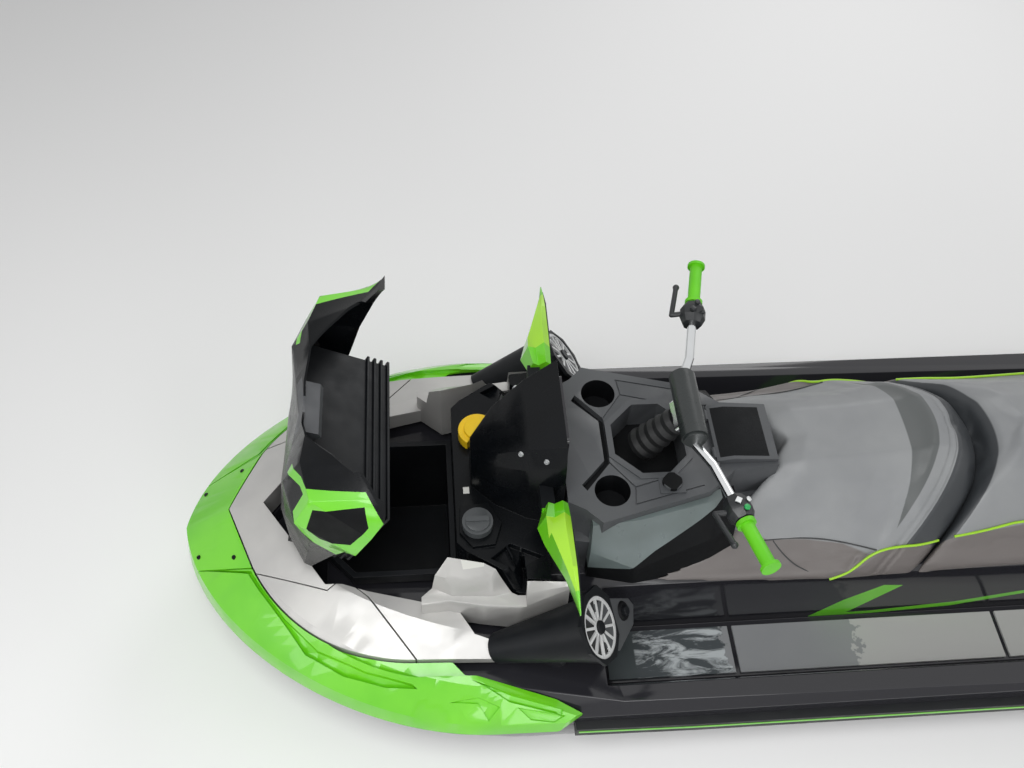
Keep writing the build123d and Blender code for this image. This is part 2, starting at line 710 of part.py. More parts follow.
# Handlebar, its pad, grips, controls and levers
bar_bend = (bar_x - 36.0, 168.0, 802.0)
bar_end = (bar_x - 102.0, 462.0, 836.0)
with BuildPart() as handlebar:
    add(tube((bar_x, -100, bar_z), (bar_x, 100, bar_z), bar_radius))
    for side in (1, -1):
        bend = (bar_bend[0], side * bar_bend[1], bar_bend[2])
        add(tube((bar_x, side * 88, bar_z), bend, bar_radius))
        with Locations(bend):
            Sphere(bar_radius)
        add(tube(bend, (bar_end[0], side * bar_end[1], bar_end[2]), bar_radius))
    with BuildSketch(Plane(origin=bar_centre, z_dir=column_angle)):
        RectangleRounded(46, 90, 8)
    extrude(amount=30)
    with BuildSketch(Plane(origin=bar_centre, z_dir=column_angle)):
        Circle(stem_radius)
    extrude(amount=100)
write(handlebar, "handlebar")

pad_half, pad_radius = 96.0, 34.0
with BuildPart() as handlebar_pad:
    pad_z = bar_z + 26
    add(tube((bar_x, -pad_half, pad_z), (bar_x, pad_half, pad_z), pad_radius))
    for side in (1, -1):
        add(tube((bar_x, side * pad_half, pad_z), (bar_x, side * (pad_half + 7), pad_z), pad_radius - 5))
    add(handlebar.part, mode=Mode.SUBTRACT)
write(handlebar_pad, "handlebar_pad")


def bar_frame(side, distance):
    """A plane across the straight outer run of the bar, placed inward from its end and facing inward."""
    end = Vector(bar_end[0], side * bar_end[1], bar_end[2])
    inward = (Vector(bar_bend[0], side * bar_bend[1], bar_bend[2]) - end).normalized()
    return Plane(origin=end + inward * distance, x_dir=inward.cross(Vector(0, 0, 1)), z_dir=inward)


def along_bar(side, distance):
    """A point on the straight outer run of the bar, measured inward from its end."""
    return bar_frame(side, distance).origin


grip_length = 128.0
with BuildPart() as grips:
    for side in (1, -1):
        add(tube(along_bar(side, -6), along_bar(side, grip_length), grip_radius))
        add(tube(along_bar(side, grip_length - 10), along_bar(side, grip_length), grip_flange))
        add(tube(along_bar(side, -6), along_bar(side, 2), grip_flange))
    add(handlebar.part, mode=Mode.SUBTRACT)
write(grips, "grips")

# Faceted switch pods: distance and radius of each section, then distance, turn and radius of buttons
pod_sections = [(4, 25), (22, 35), (48, 35), (68, 26)]
pod_buttons = [(20, 100, 7), (44, 84, 9), (44, 130, 6)]
with BuildPart() as bar_controls:
    for side in (1, -1):
        for distance, radius in pod_sections:
            with BuildSketch(bar_frame(side, grip_length + distance)):
                RegularPolygon(radius=radius, side_count=8)
        loft(ruled=True)
        for distance, turn, radius in pod_buttons:
            pod = bar_frame(side, grip_length + distance)
            out = pod.x_dir * (-side * cos(radians(turn))) + Vector(0, 0, 1) * sin(radians(turn))
            add(tube(pod.origin + out * 20, pod.origin + out * 38, radius))
    add(handlebar.part, mode=Mode.SUBTRACT)
write(bar_controls, "bar_controls")

with BuildPart() as bar_levers:
    for side in (1, -1):
        root = along_bar(side, grip_length + 30)
        tip = along_bar(side, grip_length - 62)
        add(tube(root + Vector(24, 0, 0), root + Vector(58, 0, -4), 7))
        with Locations(root + Vector(58, 0, -4)):
            Sphere(7)
        add(tube(root + Vector(58, 0, -4), tip + Vector(52, 0, -4), 7))
        with Locations(tip + Vector(52, 0, -4)):
            Sphere(9)
    add(bar_controls.part, mode=Mode.SUBTRACT)
    add(handlebar.part, mode=Mode.SUBTRACT)
write(bar_levers, "bar_levers")

# Glovebox cover, hinged at its front edge, with a raised facet across its front
cover_rim = shifted([(182, console_top + 1), (345, console_top + 1), (345, console_top + 14),
                     (300, console_top + 22),
                     (182, console_top + 10)], fore)
with BuildPart() as glovebox_cover:
    extrude(side_face(cover_rim), amount=88, both=True)
    for side in (1, -1):
        with Locations(Location((cover_hinge_x, side * cover_hinge_y, cover_hinge_z), (90, 0, 0))):
            Cylinder(cover_barrel, 30)
            Cylinder(cover_pin + running_fit, 30, mode=Mode.SUBTRACT)
write(glovebox_cover, "glovebox_cover")

# Seats: x, top height, then half widths of the top, the shoulder and the base
seat_front, seat_rear = 500.0, -1140.0
front_rows = [
    (500, 470, 262, 275, 290), (300, 590, 215, 255, 305), (150, 655, 165, 250, 310),
    (-100, 672, 180, 276, 314),
    (-215, 690, 185, 284, 314), (-262, 715, 180, 286, 313), (-330, 690, 178, 276, 310),
    (-400, 640, 170, 268, 308),
]
rear_rows = [
    (-408, 650, 170, 268, 308), (-440, 690, 182, 272, 308), (-700, 690, 182, 268, 300),
    (-860, 716, 178, 264, 294),
    (-930, 704, 176, 262, 290), (-1100, 690, 168, 252, 280), (-1140, 655, 150, 236, 266),
]
seat_base = pedestal_top + 1.0


def between(x):
    """A station of the drawn craft, moved in proportion between its fore and aft bodies."""
    share = (x - seat_rear) / (seat_front - seat_rear)
    return x + share * fore + (1 - share) * aft


def cushion(rows):
    """A cushion lofted through its rows."""
    faces = []
    for x, top, half, shoulder, base in rows:
        rise = top - seat_base
        edge = (base - 0.2 * (base - shoulder), seat_base + 0.3 * rise)
        flank = (shoulder, seat_base + 0.78 * rise)
        faces.append(section(between(x), both([(base, seat_base), edge, flank, (half, top)])))
    return loft(faces, ruled=True)


# The nose of the front seat forks round the console
seat_fork = mirrored(shifted([(600, 192), (312, 188), (208, 104), (132, 0)], fore))
with BuildPart() as front_seat:
    add(cushion(front_rows))
    for piece in (console, knee_panels):
        add(piece.part, mode=Mode.SUBTRACT)
    extrude(top_face(seat_fork, 300), amount=tall, mode=Mode.SUBTRACT)
write(front_seat, "front_seat")
with BuildPart() as rear_seat:
    add(cushion(rear_rows))
write(rear_seat, "rear_seat")

# Grab handle behind the rear seat
handle_radius = 15.0
handle_route = shifted([(-1180, 240, 470), (-1250, 215, 560), (-1262, 0, 575), (-1250, -215, 560),
                        (-1180, -240, 470)], aft)
with BuildPart() as grab_handle:
    for a, b in zip(handle_route, handle_route[1:]):
        add(tube(a, b, handle_radius))
    for joint in handle_route[1:-1]:
        with Locations(joint):
            Sphere(handle_radius)
    for side in (1, -1):
        with Locations((aft - 1200, side * 240, 448)):
            Box(90, 40, 48)
    add(rear_seat.part, mode=Mode.SUBTRACT)
    add(deck.part, mode=Mode.SUBTRACT)
write(grab_handle, "grab_handle")

# Traction mats in the footwells and on the stern platform
mat_splits = [(fore + 610, fore + 250), (fore + 236, between(-540)), (between(-554), aft - 1340)]
with BuildPart() as deck_mats:
    inner, outer = well_inner + mat_margin + 8, well_outer - mat_margin
    for side in (1, -1):
        for front, rear in mat_splits:
            with Locations(((front + rear) / 2, side * (inner + outer) / 2, well_floor_z)):
                Box(front - rear, outer - inner, mat_thickness,
                    align=(Align.CENTER, Align.CENTER, Align.MIN))
    with Locations(((stern_x + platform_x) / 2 - 4, 0, well_floor_z)):
        Box(platform_x - stern_x - 60, 2 * outer, mat_thickness,
            align=(Align.CENTER, Align.CENTER, Align.MIN))
write(deck_mats, "deck_mats")

# Speakers on tapered pods at the head of each footwell
speaker_radius = 78.0
speaker_y = side_half - 137.5
pod_wall = 6.0
speaker_depth = 14.0
speaker_hub, spoke_count, spoke_width = 20.0, 12, 7.0
# Plate round the speaker, in its own plane: outboard, then down and aft
speaker_plate = [(-46, -88), (40, -88), (84, -30), (84, 44), (40, 88), (-20, 88), (-62, 50), (-96, 20),
                 (-96, -44)]
plate_depth = 10.0


def speaker_plane(side, depth=0.0):
    """The plane of a speaker's face, looking up and aft; its x runs to port."""
    normal = Vector(-0.78, side * 0.18, 0.6).normalized()
    origin = Vector(fore + 672, side * speaker_y, 496) - normal * depth
    return Plane(origin=origin, x_dir=(side * 0.18, 0.78, 0), z_dir=normal)


with BuildPart() as speaker_pods:
    for side in (1, -1):
        with BuildSketch(speaker_plane(side, plate_depth)):
            Circle(speaker_radius + pod_wall)
        with BuildSketch(Plane(origin=(fore + 930, side * (speaker_y - 13), 372),
                               x_dir=(side * 0.18, 0.78, 0),
                               z_dir=speaker_plane(side).z_dir)):
            Circle(40)
        loft(ruled=True)
        extrude(polygon(speaker_plane(side, plate_depth), [(side * u, v) for u, v in speaker_plate]),
                amount=plate_depth)
        extrude(top_face(on_side(side, shifted([(660, 400), (660, 480), (850, 460), (850, 400)], fore)),
                         262), amount=150)
    for side in (1, -1):
        with BuildSketch(speaker_plane(side)):
            Circle(speaker_radius)
        extrude(amount=-speaker_depth, mode=Mode.SUBTRACT)
    for piece in (deck, body, upper_cowls, side_cowls, bow_fairings, console, knee_panels):
        add(piece.part, mode=Mode.SUBTRACT)
write(speaker_pods, "speaker_pods")

with BuildPart() as speaker_grilles:
    for side in (1, -1):
        with BuildSketch(speaker_plane(side, speaker_depth)):
            Circle(speaker_radius)
        extrude(amount=5)
        with BuildSketch(speaker_plane(side, speaker_depth - 5)):
            Circle(speaker_radius)
            Circle(speaker_radius - 9, mode=Mode.SUBTRACT)
            Circle(speaker_hub)
            with PolarLocations(speaker_hub - 6, spoke_count):
                Rectangle(speaker_radius - speaker_hub, spoke_width, align=(Align.MIN, Align.CENTER))
        extrude(amount=6)
write(speaker_grilles, "speaker_grilles")

# Filler caps: the fuel cap on its collar, and the oil cap as a half disc with a raised half
fuel_radius, fuel_height = 40.0, 22.0
with BuildPart() as fuel_cap:
    with Locations((fuel_x, fuel_y, collar_z)):
        Cylinder(fuel_radius, fuel_height, align=(Align.CENTER, Align.CENTER, Align.MIN))
        Cylinder(fuel_radius - 8, fuel_height + 6, align=(Align.CENTER, Align.CENTER, Align.MIN))
        Box(2 * fuel_radius - 20, 14, fuel_height + 14, align=(Align.CENTER, Align.CENTER, Align.MIN))
write(fuel_cap, "fuel_cap")

oil_x, oil_y, oil_radius, oil_height, oil_turn = fore + 955.0, -114.0, 52.0, 34.0, -34.0
with BuildPart() as oil_cap:
    for radius, height in ((oil_radius, oil_height), (oil_radius - 16, oil_height + 9)):
        with BuildSketch(Plane(origin=(oil_x, oil_y, dash_platform_z),
                               x_dir=(cos(radians(oil_turn)), sin(radians(oil_turn)), 0))):
            Circle(radius)
            Rectangle(2 * radius, 2 * radius, align=(Align.MAX, Align.CENTER), mode=Mode.SUBTRACT)
        extrude(amount=height)
    add(dash_cowl.part, mode=Mode.SUBTRACT)
write(oil_cap, "oil_cap")

# Folding cleats, one pair on the fore deck and one on the gunwales: x, y, height of the base and turn
cleat_places = [(fore + 800, speaker_y - 6, 320, -14), (aft - 1500, side_half - 39.5, 252, 0)]
with BuildPart() as mooring_cleats:
    for cleat_x, cleat_y, cleat_top, cleat_turn in cleat_places:
        for side in (1, -1):
            turn = radians(side * cleat_turn)
            with BuildSketch(Plane(origin=(cleat_x, side * cleat_y, cleat_top),
                                   x_dir=(cos(turn), sin(turn), 0))):
                SlotOverall(112, 28)
            extrude(amount=-100)
            with BuildSketch(Plane(origin=(cleat_x, side * cleat_y, cleat_top),
                                   x_dir=(cos(turn), sin(turn), 0))):
                SlotOverall(84, 18)
                SlotOverall(66, 6, mode=Mode.SUBTRACT)
            extrude(amount=9)
    for piece in (deck, hull, bow_fairings, side_cowls, speaker_pods):
        add(piece.part, mode=Mode.SUBTRACT)
write(mooring_cleats, "mooring_cleats")

# Sponsons low on the hull sides
with BuildPart() as sponsons:
    for side in (1, -1):
        extrude(
            side_face(shifted([(-1690, -58), (-1690, 26), (-1100, 18), (-980, -10), (-1100, -44)], aft)),
            amount=-side * (side_half + 12),
        )
    with Locations((aft - 1300, 0, 0)):
        Box(1000, 2 * side_half - 151, 300, mode=Mode.SUBTRACT)
    add(body.part, mode=Mode.SUBTRACT)
write(sponsons, "sponsons")

# Ride plate and the grate over the intake
plate_top = -232.0
plate_half = 118.0
with BuildPart() as ride_plate:
    extrude(
        top_face(mirrored(shifted([(-1136, plate_half), (-1560, plate_half), (-1610, 70)], aft)),
                 plate_top), amount=-9
    )
    for rib_y in (-90, -45, 45, 90):
        with Locations((aft - 1350, rib_y, plate_top - 9)):
            Box(380, 6, 9, align=(Align.CENTER, Align.CENTER, Align.MAX))
    add(hull.part, mode=Mode.SUBTRACT)
write(ride_plate, "ride_plate")

grate_bar = 9.0
with BuildPart() as intake_grate:
    for bar_y in (-45, -15, 15, 45):
        with Locations((aft - 860, bar_y, -262)):
            Box(440, grate_bar, 22)
    for cross_x in (-1080, -646):
        with Locations((aft + cross_x, 0, -262)):
            Box(16, 2 * duct_half, 22)
    add(hull.part, mode=Mode.SUBTRACT)
write(intake_grate, "intake_grate")

# Jet pump: housing with stator vanes and the venturi cone
jet_axis = Plane(origin=(0, 0, pump_z), x_dir=(0, 1, 0), z_dir=(1, 0, 0))


def ring(x_front, x_rear, outer, inner):
    """A tube on the jet's axis."""
    with BuildPart(mode=Mode.PRIVATE) as tube_part:
        with BuildSketch(jet_axis.offset(x_rear)):
            Circle(outer)
            if inner:
                Circle(inner, mode=Mode.SUBTRACT)
        extrude(amount=x_front - x_rear)
    return tube_part.part


pump_outer = pump_bore + pump_wall
venturi_outer = venturi_bore + venturi_wall
vane_count = 6
with BuildPart() as pump_housing:
    with BuildSketch(Plane.XZ):
        with BuildLine():
            Polyline(
                (pump_front, pump_z + pump_bore), (pump_front, pump_z + pump_outer + 8),
                (pump_front - 14, pump_z + pump_outer + 8),
                (pump_front - 14, pump_z + pump_outer), (pump_rear, pump_z + pump_outer),
                (venturi_rear + 50, pump_z + venturi_outer),
                (venturi_rear, pump_z + venturi_outer), (venturi_rear, pump_z + venturi_bore),
                (venturi_rear + 50, pump_z + venturi_bore),
                (pump_rear, pump_z + pump_bore), close=True,
            )
        make_face()
    revolve(axis=Axis((0, 0, pump_z), (1, 0, 0)), revolution_arc=360)
    add(ring(pump_rear + 85, pump_rear + 5, 26, 0))
    for turn in range(vane_count):
        with Locations(Location((pump_rear + 45, 0, pump_z), (turn * 360 / vane_count, 0, 0))):
            Box(70, 6, pump_bore + 4, align=(Align.CENTER, Align.CENTER, Align.MIN))
    for side in (1, -1):
        with Locations(Location((nozzle_x, 0, pump_z + side * venturi_outer))):
            Cylinder(6, 2 * nozzle_wall + 10)
        with Locations(Location((bucket_x, side * (bucket_half + venturi_bore) / 2, pump_z), (90, 0, 0))):
            Cylinder(12, bucket_half - venturi_bore - 6)
            Cylinder(8, bucket_half - venturi_bore + 14)
        with Locations((pump_front - 40, side * (pump_outer + 26), pump_z)):
            Box(60, 2 * (tunnel_half - pump_outer - 26), 40)
    add(ring(venturi_rear + 180, venturi_rear - 60, venturi_bore, 0), mode=Mode.SUBTRACT)
    for turn in range(vane_count):
        with Locations(Location((pump_rear + 45, 0, pump_z), (turn * 360 / vane_count, 0, 0))):
            Box(70, 6, pump_bore + 4, align=(Align.CENTER, Align.CENTER, Align.MIN))
    add(ring(pump_rear + 85, pump_rear + 5, 26, 0))
write(pump_housing, "pump_housing")

# Impeller and its drive shaft; each blade winds round the hub from section to section
blade_count = 4
blade_thick = 5.0
blade_twist = 75.0
blade_stations = 4
hub_radius = 30.0
impeller_rear, impeller_front = pump_front - 168.0, pump_front - 70.0


def blade_section(share, turn):
    """A thin radial strip across a blade, a share of the way from rear to front."""
    x = impeller_rear + 4 + share * (impeller_front - impeller_rear - 8)
    angle = radians(turn + share * blade_twist)
    with BuildSketch(Plane(origin=(x, 0, pump_z), x_dir=(0, cos(angle), sin(angle)),
                           z_dir=(1, 0, 0))) as strip:
        with Locations(((hub_radius - 6 + pump_bore - blade_gap) / 2, 0)):
            Rectangle(pump_bore - blade_gap - hub_radius + 6, blade_thick)
    return strip.sketch


with BuildPart() as impeller:
    add(ring(impeller_front, impeller_rear, hub_radius, 0))
    add(ring(shaft_front + 40, impeller_front - 1, shaft_radius, 0))
    for turn in range(blade_count):
        stations = range(blade_stations)
        loft([blade_section(k / (blade_stations - 1), turn * 360 / blade_count) for k in stations],
             ruled=True)
write(impeller, "impeller")

# Steering nozzle on its two vertical pins
nozzle_entry = venturi_outer + nozzle_gap
with BuildPart() as steering_nozzle:
    with BuildSketch(Plane.XZ):
        with BuildLine():
            Polyline(
                (nozzle_x + 8, pump_z + nozzle_entry),
                (nozzle_x + 8, pump_z + nozzle_entry + nozzle_wall),
                (nozzle_x - 30, pump_z + nozzle_entry + nozzle_wall),
                (nozzle_rear, pump_z + nozzle_bore + nozzle_wall),
                (nozzle_rear, pump_z + nozzle_bore), (nozzle_x - 30, pump_z + nozzle_entry), close=True,
            )
        make_face()
    revolve(axis=Axis((0, 0, pump_z), (1, 0, 0)), revolution_arc=360)
    with Locations((nozzle_x, 0, pump_z)):
        Cylinder(6 + running_fit, 400, mode=Mode.SUBTRACT)
write(steering_nozzle, "steering_nozzle")

# Reverse bucket, stowed above the jet on its two side pivots
bucket_from, bucket_to = 20.0, 78.0  # degrees above the jet's line when stowed


def arc_point(radius, angle):
    """A point round the bucket's pivot, measured from straight aft towards up."""
    return (bucket_x - radius * cos(radians(angle)), pump_z + radius * sin(radians(angle)))


with BuildPart() as reverse_bucket:
    middle = (bucket_from + bucket_to) / 2
    with BuildSketch(Plane.XZ):
        with BuildLine():
            ThreePointArc(arc_point(bucket_radius, bucket_from), arc_point(bucket_radius, middle),
                          arc_point(bucket_radius, bucket_to))
            Line(arc_point(bucket_radius, bucket_to), arc_point(bucket_radius - bucket_wall, bucket_to))
            ThreePointArc(
                arc_point(bucket_radius - bucket_wall, bucket_to),
                arc_point(bucket_radius - bucket_wall, middle),
                arc_point(bucket_radius - bucket_wall, bucket_from),
            )
            Line(arc_point(bucket_radius - bucket_wall, bucket_from),
                 arc_point(bucket_radius, bucket_from))
        make_face()
    extrude(amount=bucket_half + bucket_wall, both=True)
    for side in (1, -1):
        with BuildSketch(Plane.XZ.offset(-side * (bucket_half + bucket_wall / 2))):
            with BuildLine():
                Line((bucket_x + 18, pump_z), arc_point(bucket_radius, bucket_to))
                ThreePointArc(
                    arc_point(bucket_radius, bucket_to), arc_point(bucket_radius, middle),
                    arc_point(bucket_radius, bucket_from)
                )
                Line(arc_point(bucket_radius, bucket_from), (bucket_x - 12, pump_z - 16))
                Line((bucket_x - 12, pump_z - 16), (bucket_x + 18, pump_z - 16))
                Line((bucket_x + 18, pump_z - 16), (bucket_x + 18, pump_z))
            make_face()
            with Locations((bucket_x, pump_z)):
                Circle(8 + running_fit, mode=Mode.SUBTRACT)
        extrude(amount=bucket_wall / 2, both=True)
write(reverse_bucket, "reverse_bucket")

# Boarding step, folded up against the transom
step_x, step_z, step_half = stern_x - 14.0, -62.0, 205.0
step_height = 158.0
step_radius = 9.0
with BuildPart() as boarding_step:
    for side in (1, -1):
        add(tube((step_x, side * step_half, step_z), (step_x, side * step_half, step_z + step_height),
                 step_radius))
        with Locations((step_x, side * step_half, step_z + step_height)):
            Sphere(step_radius)
        add(tube((step_x, side * (step_half + 30), step_z), (step_x, side * (step_half - 9), step_z),
                 step_radius))
    add(tube((step_x, -step_half, step_z + step_height), (step_x, step_half, step_z + step_height),
             step_radius))
write(boarding_step, "boarding_step")

with BuildPart() as step_brackets:
    for side in (1, -1):
        with BuildSketch(Plane.XZ.offset(-side * (step_half + 24))):
            with Locations((step_x, step_z)):
                Circle(step_radius + 7)
            with BuildLine():
                Polyline((step_x, step_z + 16), (stern_x, step_z + 30), (stern_x, step_z - 30),
                         (step_x, step_z - 16), close=True)
            make_face()
            with Locations((step_x, step_z)):
                Circle(step_radius + running_fit, mode=Mode.SUBTRACT)
        extrude(amount=5, both=True)
    add(hull.part, mode=Mode.SUBTRACT)
write(step_brackets, "step_brackets")

# Tow eyes: one at the bow, two at the stern
eye_bore, eye_wall, eye_thick = 10.0, 6.0, 12.0
eye_places = [(bow_x - 84, 0, 128), (stern_x - 13, 330, 20), (stern_x - 13, -330, 20)]
with BuildPart() as tow_eyes:
    for eye_x, eye_y, eye_z in eye_places:
        with Locations(Location((eye_x, eye_y, eye_z), (90, 0, 0))):
            Cylinder(eye_bore + eye_wall, eye_thick)
            Cylinder(eye_bore, eye_thick, mode=Mode.SUBTRACT)
    add(hull.part, mode=Mode.SUBTRACT)
write(tow_eyes, "tow_eyes")

with BuildPart() as engine_block:
    with Locations((engine_x, 0, engine_z)):
        Box(*engine_size)
write(engine_block, "engine_block")
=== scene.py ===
"""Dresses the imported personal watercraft: finishes, padded seats and fine trim around the CAD frame."""

import json
import logging
import math
from dataclasses import dataclass, field
from enum import Enum
from typing import Any, Iterable, Sequence

import bmesh
import bpy
from mathutils import Matrix, Vector
from mathutils.bvhtree import BVHTree


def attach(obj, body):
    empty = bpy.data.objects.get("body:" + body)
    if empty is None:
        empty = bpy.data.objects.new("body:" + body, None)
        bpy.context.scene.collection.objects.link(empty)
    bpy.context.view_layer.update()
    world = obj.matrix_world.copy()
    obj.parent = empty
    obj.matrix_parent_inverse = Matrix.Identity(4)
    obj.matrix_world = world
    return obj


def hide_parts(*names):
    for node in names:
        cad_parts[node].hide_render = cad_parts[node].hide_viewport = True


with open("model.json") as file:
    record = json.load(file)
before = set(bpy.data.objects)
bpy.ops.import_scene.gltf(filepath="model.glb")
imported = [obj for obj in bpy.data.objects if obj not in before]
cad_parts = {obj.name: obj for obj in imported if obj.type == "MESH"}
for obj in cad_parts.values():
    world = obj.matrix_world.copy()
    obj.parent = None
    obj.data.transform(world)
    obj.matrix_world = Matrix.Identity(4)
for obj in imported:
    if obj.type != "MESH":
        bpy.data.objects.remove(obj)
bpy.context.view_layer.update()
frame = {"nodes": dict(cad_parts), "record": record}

log = logging.getLogger("watercraft")
IMAGE_WIDTH = 1024
MM = 0.001

Point = tuple[float, float, float]
Span = tuple[float, float]
Socket = bpy.types.NodeSocket
Tree = bpy.types.NodeTree
Piece = bpy.types.Object
Mesh = bmesh.types.BMesh


class Side(Enum):
    """Port and starboard, with the sign of Y on each."""

    PORT = 1
    STARBOARD = -1


class Plan(Enum):
    """The view in which a patch is outlined, as the two axes that it is drawn on."""

    TOP = (0, 1)
    SIDE = (0, 2)
    FRONT = (1, 2)


def linear(code: str) -> tuple[float, float, float, float]:
    """Turns an sRGB hex colour into Blender's linear colour, with full alpha."""
    channels = [int(code[i : i + 2], 16) / 255 for i in (0, 2, 4)]
    return (*[c / 12.92 if c <= 0.04045 else ((c + 0.055) / 1.055) ** 2.4 for c in channels], 1.0)


def add_node(tree: Tree, kind: str, settings: dict[Any, Any], links: dict[Any, Socket]) -> bpy.types.Node:
    """Adds a shader node with its settings and links.

    Args:
        tree: The material's node tree.
        kind: Blender's node type name.
        settings: Values for input sockets, or for the node's own properties.
        links: Input socket name or number to the output socket that feeds it.

    Returns:
        The new node.
    """
    node = tree.nodes.new(kind)
    for key, value in settings.items():
        if isinstance(key, str) and hasattr(node, key):
            setattr(node, key, value)
        else:
            node.inputs[key].default_value = value
    for key, output in links.items():
        tree.links.new(output, node.inputs[key])
    return node


def noise(tree: Tree, place: Socket, size_mm: float, **settings: float) -> Socket:
    """Noise of a given size."""
    drawn = add_node(tree, "ShaderNodeTexNoise", {"Scale": 1 / (size_mm * MM), **settings}, {"Vector": place})
    return drawn.outputs["Fac"]


def ramp(tree: Tree, value: Socket, band: Span, ends: Span = (0.0, 1.0)) -> Socket:
    """Stretches a band of values to run between two ends, and holds it there."""
    settings = {1: band[0], 2: band[1], 3: ends[0], 4: ends[1]}
    return add_node(tree, "ShaderNodeMapRange", settings, {0: value}).outputs[0]


def past(tree: Tree, value: Socket, edge: float, soft: float = 0.0015) -> Socket:
    """A crisp change from 0 to 1 as a value passes an edge."""
    return ramp(tree, value, (edge - soft, edge + soft))


def maths(tree: Tree, operation: str, *terms: float | Socket) -> Socket:
    """One step of arithmetic between numbers and sockets."""
    numbers = {place: term for place, term in enumerate(terms) if isinstance(term, float)}
    links = {place: term for place, term in enumerate(terms) if not isinstance(term, float)}
    return add_node(tree, "ShaderNodeMath", {"operation": operation, **numbers}, links).outputs[0]


def blend(tree: Tree, mask: Socket, below: str | Socket, above: str | Socket) -> Socket:
    """Lays one colour over another where a mask is 1; each is a hex colour or a socket that carries one."""
    ends = {6: below, 7: above}
    plain = {place: linear(end) for place, end in ends.items() if isinstance(end, str)}
    links = {place: end for place, end in ends.items() if not isinstance(end, str)}
    return add_node(tree, "ShaderNodeMix", {"data_type": "RGBA", **plain}, {0: mask, **links}).outputs[2]


def bump(tree: Tree, height: Socket, depth_mm: float, strength: float = 0.5, **links: Socket) -> Socket:
    """Relief of a given depth, as a normal."""
    settings = {"Strength": strength, "Distance": depth_mm * MM}
    return add_node(tree, "ShaderNodeBump", settings, {"Height": height, **links}).outputs["Normal"]


@dataclass(frozen=True)
class Finish:
    """A surface finish: colour, gloss, grain and the slot that it belongs to.

    The colour drifts gently between base and tint over drift_mm, smears vary the gloss, scuffs show through in
    their own colour, and grain_mm sets the spacing of a fine bump. A band is the part of its noise that is used.
    """

    name: str
    slot: str
    base: str
    tint: str
    roughness: float = 0.5
    roughness_spread: float = 0.08
    metallic: float = 0.0
    coat: float = 0.0
    coat_roughness: float = 0.05
    grain_mm: float = 1.2
    grain_depth_mm: float = 0.05
    drift_mm: float = 180.0
    drift_band: Span = (0.35, 0.65)
    scuff: float = 0.0
    scuff_colour: str = "8A8C8C"
    scuff_mm: float = 14.0
    scuff_band: Span = (0.62, 0.8)
    smear_mm: float = 40.0
    smear_band: Span = (0.3, 0.7)
    ior: float = 1.5
    specular: float = 0.5

    def material(self) -> bpy.types.Material:
        """Builds the material, or returns it if it's already there."""
        ready = bpy.data.materials.get(self.name)
        if ready:
            return ready
        made = bpy.data.materials.new(self.name)
        made.use_nodes = True
        tree = made.node_tree
        inputs = tree.nodes["Principled BSDF"].inputs
        for name, value in (
            ("Metallic", self.metallic), ("IOR", self.ior), ("Specular IOR Level", self.specular),
            ("Coat Weight", self.coat), ("Coat Roughness", self.coat_roughness),
        ):
            inputs[name].default_value = value
        place = add_node(tree, "ShaderNodeTexCoord", {}, {}).outputs["Object"]
        for name, draw in (("Base Color", self.colour), ("Roughness", self.gloss), ("Normal", self.relief)):
            tree.links.new(draw(tree, place), inputs[name])
        return made

    def drift(self, tree: Tree, place: Socket) -> Socket:
        """The colour, drifting gently from base to tint as weathering does."""
        cloud = noise(tree, place, self.drift_mm, Detail=3.0)
        return blend(tree, ramp(tree, cloud, self.drift_band), self.base, self.tint)

    def colour(self, tree: Tree, place: Socket) -> Socket:
        """The drifting colour, with scuffs where the finish has them.

        Args:
            tree: The material's node tree.
            place: Object coordinates.

        Returns:
            The colour socket.
        """
        plain = self.drift(tree, place)
        if not self.scuff:
            return plain
        rub = noise(tree, place, self.scuff_mm, Detail=6.0, Roughness=0.7)
        return blend(tree, ramp(tree, rub, self.scuff_band, (0.0, self.scuff)), plain, self.scuff_colour)

    def gloss(self, tree: Tree, place: Socket) -> Socket:
        """The roughness, varied a little as handling and spray leave it."""
        ends = (self.roughness - self.roughness_spread, self.roughness + self.roughness_spread)
        return ramp(tree, noise(tree, place, self.smear_mm, Detail=4.0), self.smear_band, ends)

    def relief(self, tree: Tree, place: Socket) -> Socket:
        """The fine grain of the surface."""
        return bump(tree, noise(tree, place, self.grain_mm, Detail=2.0), self.grain_depth_mm)


